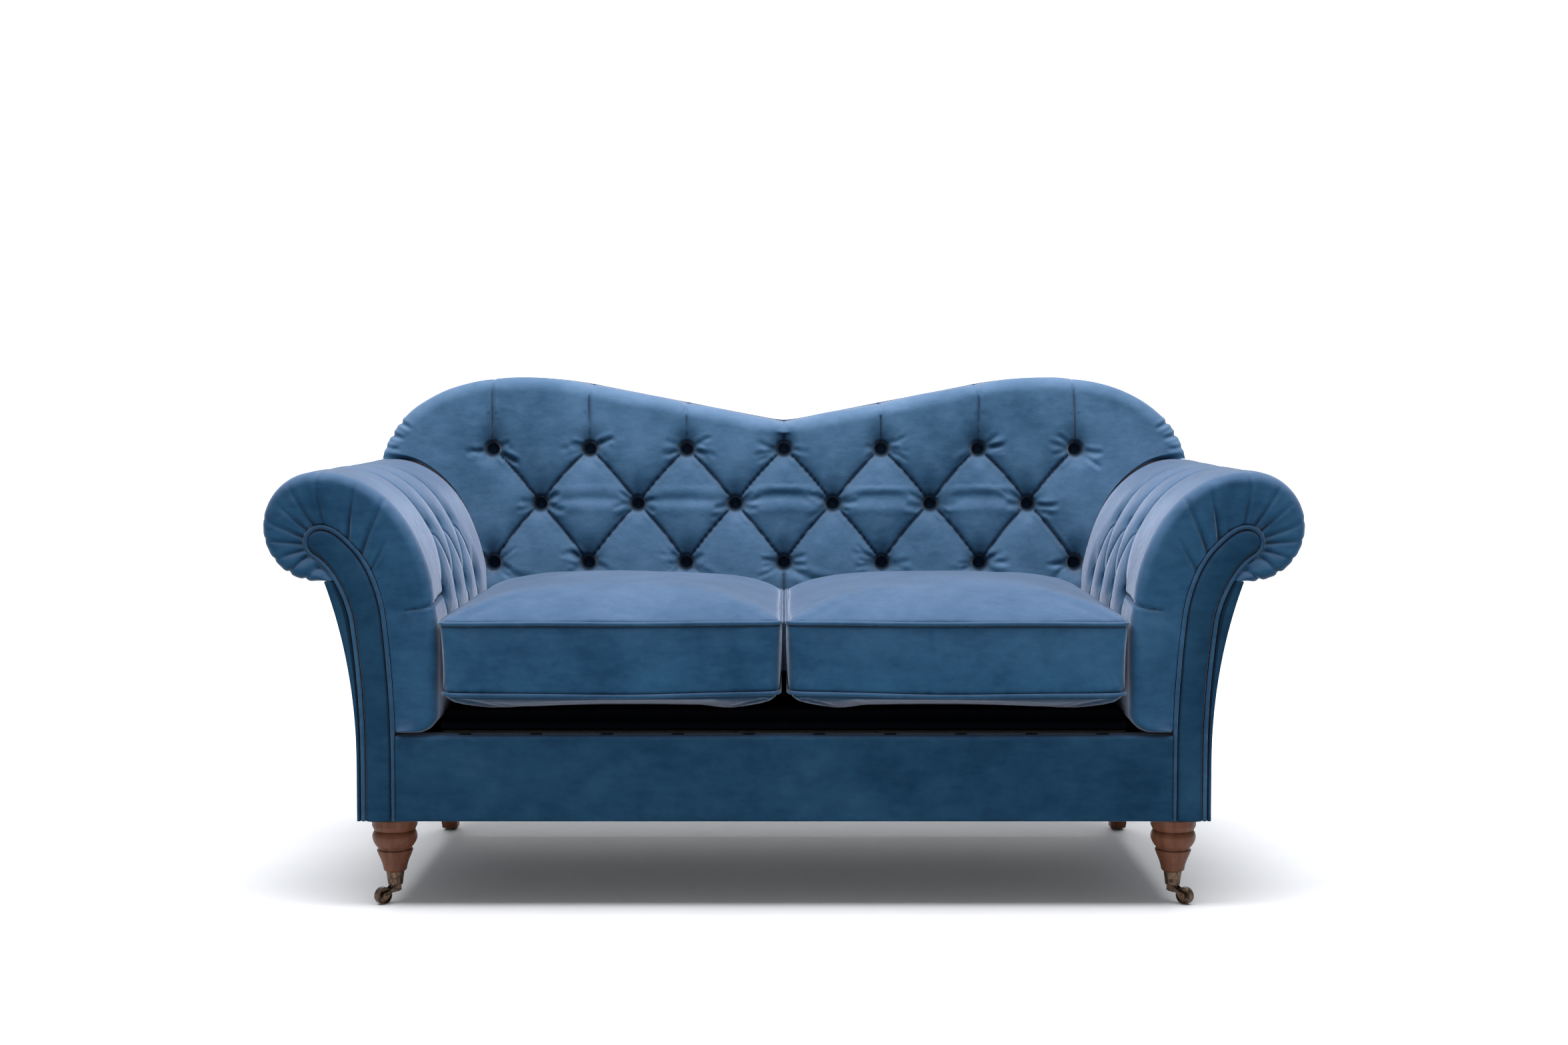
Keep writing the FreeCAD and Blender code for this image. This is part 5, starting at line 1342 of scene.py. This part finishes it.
def woven(name, count, deep, pale, first=0, second=1):
    """Plain weave: threads over and under along two axes, count of them in each 6 mm or so."""
    cloth = Finish(name, Roughness=0.95)
    turns = {0: (0, 0, 0), 1: (0, 0, math.pi / 2), 2: (0, math.pi / 2, 0)}
    threads = []
    for axis in (first, second):
        made = cloth.node("TexWave", {"wave_type": "BANDS", "bands_direction": "X"},
                          Vector=cloth.place((1, 1, 1), turns[axis]), Scale=count, Distortion=0.4)
        threads.append(cloth.signal(made, 1))
    crossing = threads[0] * threads[1]
    slub = cloth.noise(cloth.place(), 90.0, 4.0)
    cloth.feed("Base Color", cloth.mix((crossing * 0.7 + slub * 0.3).clamped(0.1, 0.8), deep, pale))
    cloth.feed("Normal", cloth.bump(crossing, 0.6, 0.0006))
    return cloth.material


dress(woven("jute_webbing", 130.0, (0.16, 0.10, 0.05, 1), (0.50, 0.38, 0.22, 1), 0, 2), "arm_webbing",
      "back_webbing")


def stretched(name, node, thick, height, cloth, count=(90, 44)):
    """A sheet over the place of a CAD node: height gives its lower face in millimetres over X and Y."""
    low, high = corners(node)
    sheet_y = np.linspace(low[1], high[1], count[1])
    loops = []
    for at in np.linspace(low[0], high[0], count[0]):
        foot = height(at, sheet_y)
        under = np.column_stack([np.full(count[1], at), sheet_y, foot])
        loops.append(np.vstack([under, under[::-1] + (0, 0, thick)]))
    made = cover_skin(name, np.array(loops), np.zeros(count[0] * count[1] * 2))
    made.data.materials.append(cloth)
    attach(made, "sofa")
    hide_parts(node)


HESSIAN = woven("hessian_cloth", 110.0, (0.20, 0.13, 0.07, 1), (0.48, 0.36, 0.22, 1))
stretched("spring_hessian", "spring_cloth", 1.2,
          lambda x, y: corners("spring_cloth")[0][2] + 0.1 + 0.1 * np.sin(x / 18) * np.sin(y / 21),
          HESSIAN)

# ================================================================ dust cover
# Black cambric closes the underside. It is turned in and stapled under the rails, and hangs a few millimetres
# between them.
DUST = woven("black_cambric", 300.0, (0.004, 0.004, 0.005, 1), (0.022, 0.022, 0.024, 1))


def hang(x, y):
    """Lower face of the dust cover: tight at the rails, hanging in the two bays between them."""
    bay_x = np.clip((abs(x) - 14) / 626, 0, 1)
    bay_y = np.clip((y + 381) / 629, 0, 1)
    fall = 6.0 * np.sin(np.pi * bay_x) * np.sin(np.pi * bay_y)
    return corners("dust_cover")[0][2] + 0.1 - fall


stretched("dust_cambric", "dust_cover", 0.8, hang, DUST,
          (120, 60))

# ================================================================ legs and casters
# The front legs are turned in beech, stained walnut, and stand on antique-bronze cup casters. The rear legs
# are plain and raked, on plastic glides.
STAIN = (0.060, 0.017, 0.007, 1), (0.165, 0.058, 0.026, 1)
dress(timber("walnut_stained_beech", 2, *STAIN, 0.4, 0.1), "front_leg_left", "front_leg_right",
      "rear_leg_left",
      "rear_leg_right")

bronze = Finish("antique_bronze", Metallic=0.9, Specular_IOR_Level=0.5)
patina = bronze.noise(bronze.place(), 130.0, 4.0, 0.65)
bronze.feed("Base Color", bronze.mix(patina.clamped(0.35, 0.65), (0.035, 0.024, 0.018, 1),
                                     (0.20, 0.13, 0.085, 1)))
bronze.feed("Roughness", patina * 0.25 + 0.28)
bronze.feed("Normal", bronze.bump(patina, 0.15, 0.0005))
dress(bronze.material, *[part + hand for hand in ("_left", "_right")
                         for part in ("caster_cup", "caster_horn", "caster_wheel", "caster_axle")])

glide = Finish("glide_plastic", Specular_IOR_Level=0.5)
scuff = glide.noise(glide.place((1, 1, 4)), 240.0)
glide.feed("Base Color", glide.mix(scuff, (0.03, 0.024, 0.02, 1), (0.07, 0.055, 0.045, 1)))
glide.feed("Roughness", scuff * 0.3 + 0.35)
dress(glide.material, "rear_glides")

# ================================================================ zips
# A navy zip is sewn into the rear boxing of each cushion, so that the case comes off: woven tape with a row
# of teeth down its middle, and a plated slider.
tape = Finish("zip_tape", Roughness=0.8)
teeth = tape.node("TexWave", {"wave_type": "BANDS", "bands_direction": "X"}, Vector=tape.place(), Scale=330.0)
teeth = tape.signal(teeth, 1)
tape.feed("Base Color", tape.mix(teeth, (0.004, 0.010, 0.024, 1), (0.03, 0.055, 0.10, 1)))
tape.feed("Normal", tape.bump(teeth, 0.7, 0.0006))
dress(tape.material, "cushion_zip_left", "cushion_zip_right")
